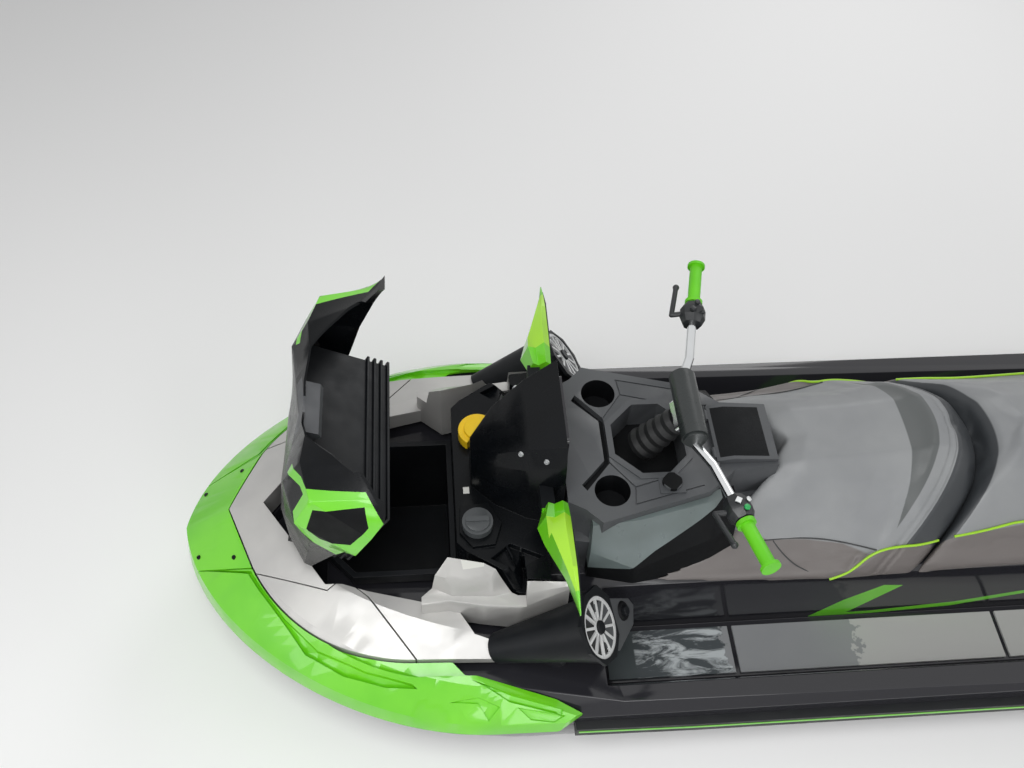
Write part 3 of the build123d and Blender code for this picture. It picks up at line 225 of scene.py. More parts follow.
@dataclass(frozen=True)
class PebbledVinyl(Finish):
    """Marine vinyl in sewn panels: embossed pebbles, a darker panel where the cover changes, and painted shade on the
    seats' fall.

    Two attributes of the cover mask the panels: "along", its length before the seams are swept forward, and
    "flank", how far a point lies outboard of the seam between top and flank.
    """

    pebble_mm: float = 2.6
    pebble_depth_mm: float = 0.3
    pore_mm: float = 0.7
    pore_depth_mm: float = 0.05
    dark: str = "4F5252"
    painted_fall_shade: str = "2E3134"
    flank: str = "615C5A"
    crescent: Span = (-0.256, -0.178)
    crescent_curve: float = -1.35
    fall_shade_range: Span = (-0.438, -0.318)

    def colour(self, tree: Tree, place: Socket) -> Socket:
        """The sewn panels: top, dark crescent and flanks, and painted shade on the rear fall."""
        across = add_node(tree, "ShaderNodeSeparateXYZ", {}, {0: place}).outputs["Y"]
        along, outboard = (
            add_node(tree, "ShaderNodeAttribute", {"attribute_name": name}, {}).outputs["Fac"]
            for name in ("along", "flank")
        )
        bent = maths(tree, "MULTIPLY_ADD", maths(tree, "POWER", across, 2.0), -self.crescent_curve, along)
        result = self.drift(tree, place)
        # The crescent is a darker sewn panel; the fall between the seats is painted shade
        for (rear, front), measure, code in (
            (self.crescent, bent, self.dark), (self.fall_shade_range, along, self.painted_fall_shade),
        ):
            behind = maths(tree, "SUBTRACT", 1.0, past(tree, measure, front))
            result = blend(tree, maths(tree, "MULTIPLY", past(tree, along, rear), behind), result, code)
        return blend(tree, past(tree, outboard, 0.0), result, self.flank)

    def relief(self, tree: Tree, place: Socket) -> Socket:
        """Embossed pebbles with fine pores on them."""
        settings = {"Scale": 1 / (self.pebble_mm * MM), "feature": "SMOOTH_F1"}
        pebbles = add_node(tree, "ShaderNodeTexVoronoi", settings, {"Vector": place}).outputs["Distance"]
        emboss = bump(tree, pebbles, self.pebble_depth_mm)
        emboss.node.invert = True
        return bump(tree, noise(tree, place, self.pore_mm, Detail=2.0), self.pore_depth_mm, 0.25, Normal=emboss)


@dataclass(frozen=True)
class SplashFoam(Finish):
    """Closed-cell foam matting: a plain dark front, a torn splash behind it and paler treads aft.

    edges are where the zones meet, from the bow aft, and tear is how far a torn edge reaches along the mat.
    """

    front: str = "3B4244"
    pale: str = "AEAEAC"
    splash: str = "B4BABC"
    splash_dark: str = "3C4245"
    edges: Point = (0.53, 0.27, -0.12)
    tear_mm: float = 45.0
    tear: float = 0.16
    strokes: Point = (7.0, 26.0, 20.0)
    stroke_band: Span = (0.47, 0.6)
    fuzz_mm: float = 1.6
    fuzz_depth_mm: float = 0.4

    def colour(self, tree: Tree, place: Socket) -> Socket:
        """The zones along the mat, with torn edges between them."""
        along = add_node(tree, "ShaderNodeSeparateXYZ", {}, {0: place}).outputs["X"]
        rip = noise(tree, place, self.tear_mm, Detail=5.0, Roughness=0.6)
        torn = maths(tree, "MULTIPLY_ADD", rip, self.tear, along)
        pulled = add_node(tree, "ShaderNodeMapping", {"vector_type": "POINT", 3: self.strokes}, {0: place})
        brushed = noise(tree, pulled.outputs[0], 1 / MM, Detail=7.0, Roughness=0.68, Distortion=0.9)
        splash = blend(tree, ramp(tree, brushed, self.stroke_band), self.splash_dark, self.splash)
        result: str | Socket = self.pale
        for edge, zone in ((self.edges[2], self.drift(tree, place)), (self.edges[1], splash)):
            result = blend(tree, past(tree, torn, edge + self.tear / 2, 0.003), result, zone)
        return blend(tree, past(tree, along, self.edges[0], 0.002), result, self.front)

    def relief(self, tree: Tree, place: Socket) -> Socket:
        """Brushed fuzz, as sanded foam has."""
        return bump(tree, noise(tree, place, self.fuzz_mm, Detail=4.0), self.fuzz_depth_mm, 0.6)


# Gelcoat over glass fibre: deep gloss under a clear coat
BLACK_GELCOAT = Finish(
    "gelcoat_black", "gelcoat_black", "0A0C0E", "0F1113", 0.45, 0.06, coat=0.12, coat_roughness=0.3, grain_mm=9,
    specular=0.18,
)
# Pigmented gloss mouldings: saturated colour under a clear coat
LIME_GELCOAT = Finish("lime_moulded_gloss", "lime_moulding", "6ECB1C", "60BF12", 0.34, 0.05, coat=0.5, grain_mm=9)
# A lighter copy of the lime, used as a painted highlight on the mirror lobes' upward faces
LIME_PAINTED_HIGHLIGHT = Finish("lime_bright_gloss", "lime_moulding", "A2DA2E", "96CF26", 0.34, 0.05, coat=0.4, grain_mm=9)
# Metallic paint: flakes under a satin clear coat
SILVER_PAINT = Finish(
    "silver_metallic_paint", "silver_paint", "B4B3B0", "A8A7A5", 0.4, 0.05, metallic=0.35, coat=0.3, grain_mm=0.9
)
# Injection-moulded ABS with a spark-eroded grain
BLACK_ABS = Finish(
    "black_moulded_abs", "black_moulding", "0F1113", "15171A", 0.4, 0.08, grain_mm=1.1, grain_depth_mm=0.1,
    scuff=0.03, specular=0.16,
)
# The same plastic left glossy, as a dash hood is
PIANO_ABS = Finish(
    "black_polished_abs", "black_moulding", "07090B", "0B0D10", 0.26, 0.05, coat=0.05, coat_roughness=0.1,
    grain_mm=6, specular=0.12,
)
# Matt near-black ABS: the lid's black field and the knobs are this black; in the console's recesses and the knee
# panels' channel it is painted shade
BLACK_ABS_AND_SHADE = Finish("black_abs_and_recess_shade", "grey_moulding", "08090A", "0B0C0E", 0.6, 0.08, grain_mm=1.2, specular=0.12)
GREY_ABS = Finish(
    "grey_moulded_abs", "grey_moulding", "3F4144", "484A4C", 0.44, 0.08, grain_mm=1.1, grain_depth_mm=0.12,
    specular=0.4,
)
PANEL_ABS = Finish(
    "slate_moulded_abs", "grey_moulding", "687373", "586261", 0.34, 0.08, coat=0.15, grain_mm=1.1,
    grain_depth_mm=0.1,
)
RAIL_RUBBER = Finish("extruded_epdm_rail", "rail_rubber", "101214", "16181A", 0.46, 0.08, grain_mm=2.0, specular=0.35)
BOOT_RUBBER = Finish("moulded_rubber_boot", "boot_rubber", "0D0E0F", "121314", 0.55, 0.06, specular=0.35)
PAD_FOAM = Finish(
    "skinned_urethane_pad", "pad_foam", "242828", "2C3030", 0.3, 0.08, grain_mm=1.0, grain_depth_mm=0.12,
    specular=0.45,
)
GRIP_RUBBER = Finish("moulded_grip_rubber", "grip_rubber", "68CB18", "5CBD10", 0.48, 0.06)
CONTROL_ABS = Finish(
    "control_pod_abs", "control_plastic", "1B1D1F", "242628", 0.38, 0.08, grain_mm=0.9, grain_depth_mm=0.1,
    specular=0.4,
)
CONTROL_WHITE = Finish("white_key_abs", "control_plastic", "DADCDC", "CFD1D1", 0.4, 0.05, grain_mm=0.9)
CONTROL_GREEN = Finish("green_key_abs", "control_plastic", "1F9A4E", "1B8C46", 0.4, 0.05, grain_mm=0.9)
CHROMED_STEEL = Finish("polished_steel_tube", "bar_steel", "D7D9DA", "C9CBCC", 0.14, 0.04, metallic=1.0)
SATIN_STEEL = Finish("satin_stainless", "step_steel", "B4B6B7", "A6A8A9", 0.32, 0.08, metallic=1.0)
CAST_ALUMINIUM = Finish(
    "cast_aluminium", "cast_aluminium", "A2A4A5", "949698", 0.48, 0.1, metallic=1.0, grain_mm=2.5, grain_depth_mm=0.2
)
IMPELLER_STEEL = Finish("machined_stainless", "impeller_steel", "BBBDBE", "B0B2B3", 0.25, 0.06, metallic=1.0)
CLEAT_METAL = Finish("dark_anodised_cleat", "cleat_metal", "3B3D3F", "45474A", 0.35, 0.08, metallic=0.8)
GRILLE_CHROME = Finish("chromed_grille", "speaker_grille", "E2E3E3", "D8D9D9", 0.3, 0.05, metallic=0.2)
GRILLE_CLOTH = Finish("black_speaker_cloth", "speaker_grille", "0B0C0D", "121314", 0.8, 0.08, grain_mm=1.4)
MIRROR_GLASS = Finish(
    "silvered_glass", "mirror_glass", "E4E6E8", "DEE0E2", 0.03, 0.01, metallic=1.0, grain_depth_mm=0.0
)
DISPLAY_GLASS = Finish(
    "display_glass", "display_glass", "08090B", "0B0C0F", 0.08, 0.02, coat=1.0, grain_depth_mm=0.0
)
# The fuel cap's black plastic, lightened to grey all over as painted light for the light it catches
CAP_ABS = Finish(
    "black_cap_abs_painted_lighter", "black_moulding", "3E4143", "484B4D", 0.36, 0.08, grain_mm=0.9, grain_depth_mm=0.1, specular=0.5,
)
YELLOW_CAP = Finish("yellow_moulded_nylon", "yellow_plastic", "EFC81C", "E6BD16", 0.38, 0.06, grain_mm=1.2)
ENGINE_IRON = Finish("cast_iron_block", "engine_iron", "2C2D2E", "363738", 0.6, 0.1, metallic=0.8, grain_mm=3)
SEAT_VINYL = PebbledVinyl("sewn_marine_vinyl", "seat_vinyl", "868889", "7C7E80", 0.5, 0.05)
PIPING_VINYL = Finish("lime_vinyl_piping", "seat_vinyl", "9ED12E", "94C628", 0.45, 0.05, grain_mm=0.9)
SEAT_WELT = Finish("charcoal_sewn_welt", "seat_vinyl", "2B2C2D", "242526", 0.5, 0.05, grain_mm=0.9)
MAT_FOAM = SplashFoam("eva_foam_mat", "mat_foam", "8E9091", "848688", 0.75, 0.05, drift_mm=500)
BLANK_LABEL = Finish("blank_label_film", "grey_moulding", "C9C9C4", "C2C2BC", 0.35, 0.05, coat=0.3)

NODE_FINISH: dict[str, Finish] = {
    "hull": BLACK_GELCOAT, "deck": BLACK_GELCOAT, "bond_rail": RAIL_RUBBER, "bow_cap": LIME_GELCOAT,
    "bow_fairings": LIME_GELCOAT, "front_cowl": SILVER_PAINT, "side_cowls": SILVER_PAINT,
    "upper_cowls": SILVER_PAINT, "storage_bin": BLACK_ABS, "storage_lid": PIANO_ABS, "lid_liner": BLACK_ABS,
    "dash_cowl": PIANO_ABS, "meter_display": DISPLAY_GLASS, "mirror_housings": LIME_GELCOAT,
    "mirror_glasses": MIRROR_GLASS, "console": GREY_ABS, "knee_panels": PANEL_ABS, "steering_neck": BOOT_RUBBER,
    "handlebar": CHROMED_STEEL, "handlebar_pad": PAD_FOAM, "grips": GRIP_RUBBER, "bar_controls": CONTROL_ABS,
    "bar_levers": CONTROL_ABS, "glovebox_cover": GREY_ABS, "front_seat": SEAT_VINYL, "rear_seat": SEAT_VINYL,
    "grab_handle": BLACK_ABS, "deck_mats": MAT_FOAM, "speaker_pods": BLACK_ABS, "speaker_grilles": GRILLE_CHROME,
    "fuel_cap": CAP_ABS, "oil_cap": YELLOW_CAP, "mooring_cleats": CLEAT_METAL, "sponsons": BLACK_ABS,
    "ride_plate": CAST_ALUMINIUM, "intake_grate": CAST_ALUMINIUM, "pump_housing": CAST_ALUMINIUM,
    "impeller": IMPELLER_STEEL, "steering_nozzle": CAST_ALUMINIUM, "reverse_bucket": CAST_ALUMINIUM,
    "boarding_step": SATIN_STEEL, "step_brackets": SATIN_STEEL, "tow_eyes": SATIN_STEEL,
    "engine_block": ENGINE_IRON,
}


def body_of(node: str) -> str:
    """The CAD body that a node rides on."""
    bodies = frame["record"]["behaviour"]["bodies"]
    return next(body for body, nodes in bodies.items() if node in nodes)


def merged_copy(node: str) -> Mesh:
    """A CAD node's mesh with its loose triangles joined and its flat faces whole.

    Args:
        node: The CAD node.

    Returns:
        A new bmesh.
    """
    work = bmesh.new()
    work.from_mesh(frame["nodes"][node].data)
    bmesh.ops.remove_doubles(work, verts=work.verts, dist=0.02 * MM)
    bmesh.ops.dissolve_limit(work, angle_limit=math.radians(0.6), verts=work.verts, edges=work.edges)
    return work


def placed(name: str, data: bpy.types.ID) -> Piece:
    """Puts new data in the scene as an object."""
    made = bpy.data.objects.new(name, data)
    bpy.context.scene.collection.objects.link(made)
    return made


def finish_piece(work: Mesh, name: str, body: str, finishes: Sequence[Finish], smooth_deg: float = 30.0) -> Piece:
    """Puts a finished mesh in the scene, shaded, dressed and riding on its body.

    Args:
        work: The mesh, already in its place; it is freed.
        name: The piece's name.
        body: The CAD body it rides on.
        finishes: Its finishes, by material index.
        smooth_deg: Edges flatter than this are shaded smooth.

    Returns:
        The new object.
    """
    mesh = bpy.data.meshes.new(name)
    work.to_mesh(mesh)
    work.free()
    piece = placed(name, mesh)
    for finish in finishes:
        mesh.materials.append(finish.material())
    mesh.shade_smooth()
    mesh.set_sharp_from_angle(angle=math.radians(smooth_deg))
    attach(piece, body)
    return piece


def round_edges(piece: Piece, radius_mm: float, sharp_deg: float, harden: bool = False) -> None:
    """Rounds the edges of a piece that turn by more than sharp_deg."""
    bevel = piece.modifiers.new("rounded edges", "BEVEL")
    bevel.width = radius_mm * MM
    bevel.segments = 2
    bevel.limit_method = "ANGLE"
    bevel.angle_limit = math.radians(sharp_deg)
    bevel.harden_normals = harden


def on_side(point: Point, side: Side) -> Vector:
    """A point or direction that is given to port, on either side."""
    return Vector((point[0], side.value * point[1], point[2]))


def standing(point: Vector, out: Vector) -> Matrix:
    """The place of a thing that stands at a point, along a direction."""
    return Matrix.Translation(point) @ out.to_track_quat("Z", "Y").to_matrix().to_4x4()


def slab(work: Mesh, corners: Iterable[Vector | Point], through: Vector | Point) -> None:
    """Extrudes a new flat face into a slab, as far and the way that through says."""
    face = work.faces.new([work.verts.new(corner) for corner in corners])
    drawn = bmesh.ops.extrude_face_region(work, geom=[face], use_keep_orig=True)
    bmesh.ops.translate(work, verts=[g for g in drawn["geom"] if isinstance(g, bmesh.types.BMVert)], vec=through)


def stud(work: Mesh, place: Matrix, radii_mm: Span, height_mm: float, segments: int) -> set[bmesh.types.BMFace]:
    """Adds a stud that tapers from its first radius to its second, with its middle in a place, for its faces."""
    made = bmesh.ops.create_cone(
        work, cap_ends=True, segments=segments, radius1=radii_mm[0] * MM, radius2=radii_mm[1] * MM,
        depth=height_mm * MM, matrix=place,
    )
    return {f for v in made["verts"] for f in v.link_faces}


def inside(outline: Sequence[Span], u: float, v: float) -> bool:
    """Whether a point lies inside an outline.

    Args:
        outline: The outline's corners.
        u: The point's first coordinate.
        v: The point's second coordinate.

    Returns:
        True inside.
    """
    found = False
    for (au, av), (bu, bv) in zip(outline, [*outline[1:], outline[0]]):
        if (av > v) != (bv > v) and u < (bu - au) * (v - av) / (bv - av) + au:
            found = not found
    return found


@dataclass(frozen=True)
class Patch:
    """A part of a surface with a finish of its own, outlined in one plan in millimetres.

    reach bounds the third axis; on the side plan it bounds the distance from the centre plane. Only faces that
    look along the third axis by more than facing are painted.
    """

    finish: Finish
    plan: Plan
    outline: tuple[Span, ...]
    reach: Span = (-5000.0, 5000.0)
    mirror: bool = True
    facing: float = -1.1

    def apply(self, work: Mesh, index: int) -> None:
        """Cuts the outline into the mesh and gives the faces inside it the finish.

        Args:
            work: The mesh to paint.
            index: The finish's material index.
        """
        first, second = self.plan.value
        third = 3 - first - second
        for flip in (1, -1) if self.mirror else (1,):
            signs = [flip if axis == 1 else 1 for axis in range(3)]
            corners = [(u * MM * signs[first], v * MM * signs[second]) for u, v in self.outline]
            low, high = sorted(reach * MM * signs[third] for reach in self.reach)
            box = {axis: (min(along), max(along)) for axis, along in zip((first, second), zip(*corners))}
            box[third] = (low, high)
            for start, end in zip(corners, [*corners[1:], corners[0]]):
                touched = [f for f in work.faces if self.near(f, box)]
                parts = {e for f in touched for e in f.edges} | {v for f in touched for v in f.verts} | set(touched)
                across, through = Vector(), Vector()
                across[first], across[second] = end[1] - start[1], start[0] - end[0]
                through[first], through[second] = start
                bmesh.ops.bisect_plane(
                    work, geom=list(parts), dist=1e-6, plane_co=through, plane_no=across.normalized()
                )
            for face in work.faces:
                centre = face.calc_center_median()
                if face.normal[third] * signs[third] < self.facing or not low <= centre[third] <= high:
                    continue
                if inside(corners, centre[first], centre[second]):
                    face.material_index = index

    @staticmethod
    def near(face: bmesh.types.BMFace, box: dict[int, Span]) -> bool:
        """Whether a face reaches into a box, given by its axes."""
        return all(
            min(v.co[axis] for v in face.verts) < high and max(v.co[axis] for v in face.verts) > low
            for axis, (low, high) in box.items()
        )


@dataclass(frozen=True)
class Ease:
    """A small draw inboard, on both sides, of the corners inside a box, all in millimetres."""

    low: Point
    high: Point
    inboard: float

    def apply(self, work: Mesh) -> None:
        """Moves the corners."""
        for vert in work.verts:
            place = (vert.co.x / MM, abs(vert.co.y) / MM, vert.co.z / MM)
            if all(low < value < high for low, value, high in zip(self.low, place, self.high)):
                vert.co.y -= math.copysign(self.inboard * MM, vert.co.y)


@dataclass
class SoftenedPart:
    """A CAD node redrawn with rounded moulded edges and patches of other finishes.

    The patches are outlined with the part turned about its hinge by closed_turn degrees.
    """

    node: str
    radius_mm: float = 3.0
    patches: tuple[Patch, ...] = ()
    closed_turn: float = 0.0
    sharp_deg: float = 30.0
    hinge: Point = (1.4, 0.0, 0.45)
    ease: Ease | None = None

    def build(self) -> Piece:
        """Copies the node's mesh, paints its patches, rounds its edges and replaces the node."""
        work = merged_copy(self.node)
        finishes = [NODE_FINISH[self.node]]
        place = Matrix.Translation(self.hinge)
        turn = place @ Matrix.Rotation(-math.radians(self.closed_turn), 4, "Y") @ place.inverted()
        work.transform(turn)
        for patch in self.patches:
            if patch.finish not in finishes:
                finishes.append(patch.finish)
            patch.apply(work, finishes.index(patch.finish))
        work.transform(turn.inverted())
        if self.ease:
            self.ease.apply(work)
        piece = finish_piece(work, f"{self.node}_moulded", body_of(self.node), finishes, self.sharp_deg)
        round_edges(piece, self.radius_mm, self.sharp_deg, harden=True)
        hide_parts(self.node)
        return piece


def shell(target: Piece) -> BVHTree:
    """A piece's own mesh, without its modifiers, as a tree to cast rays at."""
    mesh = target.data
    return BVHTree.FromPolygons([v.co[:] for v in mesh.vertices], [tuple(p.vertices) for p in mesh.polygons])


def surface(target: Piece, start: Vector, towards: Vector) -> tuple[Vector, Vector]:
    """The point and normal where a ray meets a piece, in metres.

    Args:
        target: The piece, as it stands without its modifiers.
        start: Where the ray starts.
        towards: The ray's direction.

    Returns:
        The point on the surface and its outward normal.
    """
    hit, normal, _, _ = shell(target).ray_cast(start, towards.normalized())
    if hit is None:
        raise ValueError(f"no surface of {target.name} from {start[:]}")
    return hit, normal


def along_table(table: Sequence[Span], x: float) -> float:
    """Reads a table of stations at one station.

    Args:
        table: Pairs of station and value, in rising order of station.
        x: The station.

    Returns:
        The value there.
    """
    for (start, low), (end, high) in zip(table, table[1:]):
        if x <= end:
            return low + (high - low) * max(0.0, x - start) / (end - start)
    return table[-1][1]


@dataclass
class PaddedSeat:
    """A seat cushion: swelled by cloth simulation, its seams then swept forward at the flanks."""

    node: str
    voxel_mm: float = 8.3
    smoothing: int = 9
    pressure: float = 4.0
    frames: int = 20
    most_mm: float = 13.0
    sweep: float = 2.2
    sweep_rise: Span = (0.2, -0.27)
    sweep_fall: Span = (-0.48, -1.05)
    crease_mm: float = 7.0
    crease_half_mm: float = 9.0
    held_mm: float = 22.0
    creases: tuple[float, ...] = ()
    base: float = 0.43
    crown_half: float = 0.08
    shoulder_half: float = 0.2
    shoulder_power: float = 1.2
    fill: float = 0.8
    shoulder: tuple[Span, ...] = ((-1.2, 0.34), (-0.45, 0.48), (-0.1, 0.58), (0.2, 0.62), (0.6, 0.62))
    flank_seam: tuple[Span, ...] = (
        (-1.2, 0.225), (-0.6, 0.243), (-0.44, 0.262), (-0.3, 0.275), (-0.255, 0.285), (-0.087, 0.254), (0.09, 0.237),
        (0.2, 0.232), (0.3, 0.2), (0.6, 0.17),
    )

    def build(self) -> Piece:
        """Remeshes the CAD cushion, swells it, presses its seams in and sweeps them forward."""
        work = merged_copy(self.node)
        piece = finish_piece(work, f"{self.node}_cushion", body_of(self.node), [SEAT_VINYL], 180.0)
        remesh = piece.modifiers.new("even mesh", "REMESH")
        remesh.mode = "VOXEL"
        remesh.voxel_size = self.voxel_mm * MM
        self.apply(piece)
        self.ease(piece)
        self.swell(piece)
        self.press_seams(piece)
        self.round_shoulders(piece)
        self.sweep_seams(piece)
        piece.data.shade_smooth()
        finer = piece.modifiers.new("finer", "SUBSURF")
        finer.levels = finer.render_levels = 1
        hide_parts(self.node)
        return piece

    def apply(self, piece: Piece) -> None:
        """Makes the modifiers' result the piece's own mesh."""
        graph = bpy.context.evaluated_depsgraph_get()
        made = bpy.data.meshes.new_from_object(piece.evaluated_get(graph))
        piece.modifiers.clear()
        piece.data = made
        made.materials.clear()
        made.materials.append(SEAT_VINYL.material())

    def ease(self, piece: Piece) -> None:
        """Smooths the foam's edges, which also makes it a little smaller before it swells."""
        work = bmesh.new()
        work.from_mesh(piece.data)
        for _ in range(self.smoothing):
            bmesh.ops.smooth_vert(
                work, verts=work.verts, factor=0.5, use_axis_x=True, use_axis_y=True, use_axis_z=True
            )
        work.to_mesh(piece.data)
        work.free()

    def swell(self, piece: Piece) -> None:
        """Blows the cover up against its seams, and caps how far a point may move."""
        rest = [v.co.copy() for v in piece.data.vertices]
        base = min(co.z for co in rest)
        held = piece.vertex_groups.new(name="held")
        held.add([i for i, co in enumerate(rest) if co.z < base + self.held_mm * MM], 1.0, "REPLACE")
        cloth = piece.modifiers.new("swell", "CLOTH")
        settings = cloth.settings
        for name, value in {
            "quality": 5, "mass": 0.3, "tension_stiffness": 30, "compression_stiffness": 30, "shear_stiffness": 20,
            "bending_stiffness": 6, "use_pressure": True, "uniform_pressure_force": self.pressure,
            "vertex_group_mass": "held",
        }.items():
            setattr(settings, name, value)
        settings.effector_weights.gravity = 0
        cloth.point_cache.frame_start, cloth.point_cache.frame_end = 1, self.frames
        scene = bpy.context.scene
        for number in range(1, self.frames + 1):
            scene.frame_set(number)
        graph = bpy.context.evaluated_depsgraph_get()
        swelled = [v.co.copy() for v in piece.evaluated_get(graph).data.vertices]
        piece.modifiers.clear()
        scene.frame_set(1)
        for vertex, start, end in zip(piece.data.vertices, rest, swelled):
            move = end - start
            if move.length > self.most_mm * MM:
                move = move.normalized() * self.most_mm * MM
            vertex.co = start + move
        piece.data.update()

    def press_seams(self, piece: Piece) -> None:
        """Draws the cover in along each sewn channel across the seat."""
        for vertex in piece.data.vertices:
            for seam in self.creases:
                away = abs(vertex.co.x - seam) / (self.crease_half_mm * MM)
                if away < 1 and vertex.normal.z > -0.2:
                    vertex.co -= vertex.normal * self.crease_mm * MM * (1 - away * away) ** 2
        piece.data.update()

    def round_shoulders(self, piece: Piece) -> None:
        """Draws the shoulders down over the foam, so that the top falls away to both sides."""
        for vertex in piece.data.vertices:
            out = max(0.0, min(1.0, (abs(vertex.co.y) - self.crown_half) / self.shoulder_half))
            drop = along_table(self.shoulder, vertex.co.x) * out**self.shoulder_power
            vertex.co.z -= max(0.0, vertex.co.z - self.base) * drop
        piece.data.update()

    def sweep_seams(self, piece: Piece) -> None:
        """Sweeps the seams and steps forward towards the flanks, and keeps each point's place before that."""
        kept = piece.data.attributes.new("along", "FLOAT", "POINT")
        kept.data.foreach_set("value", [v.co.x for v in piece.data.vertices])
        side = piece.data.attributes.new("flank", "FLOAT", "POINT")
        side.data.foreach_set(
            "value", [abs(v.co.y) - along_table(self.flank_seam, v.co.x) for v in piece.data.vertices]
        )
        for vertex in piece.data.vertices:
            vertex.co.x += self.sweep * vertex.co.y**2 * self.share(vertex.co.x)
        piece.data.update()

    def share(self, x: float) -> float:
        """How much of the sweep a station takes, from 0 ahead, to 1 at the step, to 0 at the stern."""
        front = (self.sweep_rise[0] - x) / (self.sweep_rise[0] - self.sweep_rise[1])
        rear = (x - self.sweep_fall[1]) / (self.sweep_fall[0] - self.sweep_fall[1])
        t = max(0.0, min(1.0, front, rear))
        return t * t * (3 - 2 * t)


@dataclass
class Piping:
    """A cord or welt sewn along a seat, laid on the cushion itself.

    The route's points lie near the cover, and each is drawn in towards the seat's spine until it meets it.
    """

    name: str
    node: str
    route: tuple[Point, ...]
    radius_mm: float = 3.6
    proud_mm: float = 2.2
    finish: Finish = field(default_factory=lambda: PIPING_VINYL)
    spine: float = 0.35
    reach: float = 0.2

    def build(self, seat: Piece) -> Piece:
        """Drops the route onto both sides and makes it a round cord.

        Args:
            seat: The cushion that carries it.

        Returns:
            The new piece.
        """
        curve = bpy.data.curves.new(self.name, "CURVE")
        curve.dimensions = "3D"
        curve.bevel_depth = self.radius_mm * MM
        curve.bevel_resolution = 3
        curve.use_fill_caps = True
        for side in Side:
            spline = curve.splines.new("NURBS")
            spline.points.add(len(self.route) - 1)
            for knot, point in zip(spline.points, self.route):
                inward = Vector((0.0, -side.value * point[1], self.spine - point[2])).normalized()
                hit, normal = surface(seat, on_side(point, side) - inward * self.reach, inward)
                knot.co = (*(hit + normal * self.proud_mm * MM), 1.0)
            spline.order_u = 3
            spline.use_endpoint_u = True
        curve.materials.append(self.finish.material())
        piece = placed(self.name, curve)
        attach(piece, body_of(self.node))
        return piece


@dataclass
class ScrewSet:
    """Button-head screws standing on a carrier's surface, where rays given to port meet it."""

    name: str
    node: str
    rays: tuple[tuple[Point, Point], ...]
    finish: Finish = field(default_factory=lambda: SATIN_STEEL)
    radius_mm: float = 7.0
    height_mm: float = 4.0
    sunk_mm: float = 0.6
    dome: float = 0.72
    socket_rim: float = 0.32
    socket_depth: float = 0.5

    def build(self) -> Piece:
        """Casts each ray onto the carrier, on both sides, and stands a screw where it lands."""
        work = bmesh.new()
        for start, towards in self.rays:
            for side in Side:
                hit, normal = surface(frame["nodes"][self.node], on_side(start, side), on_side(towards, side))
                self.screw(work, standing(hit + normal * (self.height_mm / 2 - self.sunk_mm) * MM, normal))
        return finish_piece(work, self.name, body_of(self.node), [self.finish])

    def screw(self, work: Mesh, place: Matrix) -> None:
        """One domed head with a round socket, in its place."""
        faces = stud(work, place, (self.radius_mm, self.radius_mm * self.dome), self.height_mm, 24)
        up = place.to_3x3() @ Vector((0, 0, 1))
        top = max(faces, key=lambda f: f.calc_center_median().dot(up))
        for rim_mm, depth_mm in ((self.radius_mm * self.socket_rim, 0.0), (0.4, -self.height_mm * self.socket_depth)):
            bmesh.ops.inset_individual(work, faces=[top], thickness=rim_mm * MM, depth=depth_mm * MM)


@dataclass
class BarKeys:
    """The keys on the two switch pods of the handlebar.

    Each key has its distance from the grip in millimetres, its turn about the bar in degrees, its radius in
    millimetres and its finish to port. A key whose radius is above square_from is square.
    """

    bend: Point = (0.392, 0.168, 0.802)
    end: Point = (0.326, 0.462, 0.836)
    grip_mm: float = 128.0
    pod_mm: float = 38.0
    cap_mm: float = 5.0
    taper: float = 1.15
    square_from: float = 8.0
    sharp: float = 0.6
    bevel_mm: float = 0.8
    keys: tuple[tuple[float, float, float, Finish], ...] = (
        (20, 100, 7, CONTROL_GREEN), (44, 84, 9, CONTROL_WHITE), (44, 130, 6, CONTROL_WHITE),
    )

    def build(self) -> Piece:
        """Stands a bevelled key cap on each stub of the pods."""
        work = bmesh.new()
        finishes = [CONTROL_WHITE, CONTROL_GREEN, CONTROL_ABS]
        up = Vector((0, 0, 1))
        for side in Side:
            end = on_side(self.end, side)
            inward = (on_side(self.bend, side) - end).normalized()
            level = inward.cross(up).normalized()
            for distance, turn, radius, key in self.keys:
                finish = key if side is Side.PORT else CONTROL_ABS
                angle = math.radians(turn)
                out = (level * (-side.value * math.cos(angle)) + up * math.sin(angle)).normalized()
                spot = end + inward * (self.grip_mm + distance) * MM + out * self.pod_mm * MM
                sides = 4 if radius > self.square_from else 20
                for face in stud(work, standing(spot, out), (radius * self.taper, radius), self.cap_mm, sides):
                    face.material_index = finishes.index(finish)
        edges = [e for e in work.edges if e.calc_face_angle(0.0) > self.sharp]
        bmesh.ops.bevel(
            work, geom=edges, offset=self.bevel_mm * MM, offset_type="OFFSET", affect="EDGES", segments=2, profile=0.5,
            material=-1,
        )
        return finish_piece(work, "bar_keys", "steering", finishes, 40.0)


SPEAKER_CENTRE: Point = (0.672, 0.438, 0.496)
SPEAKER_FACING: Point = (-0.78, 0.18, 0.6)


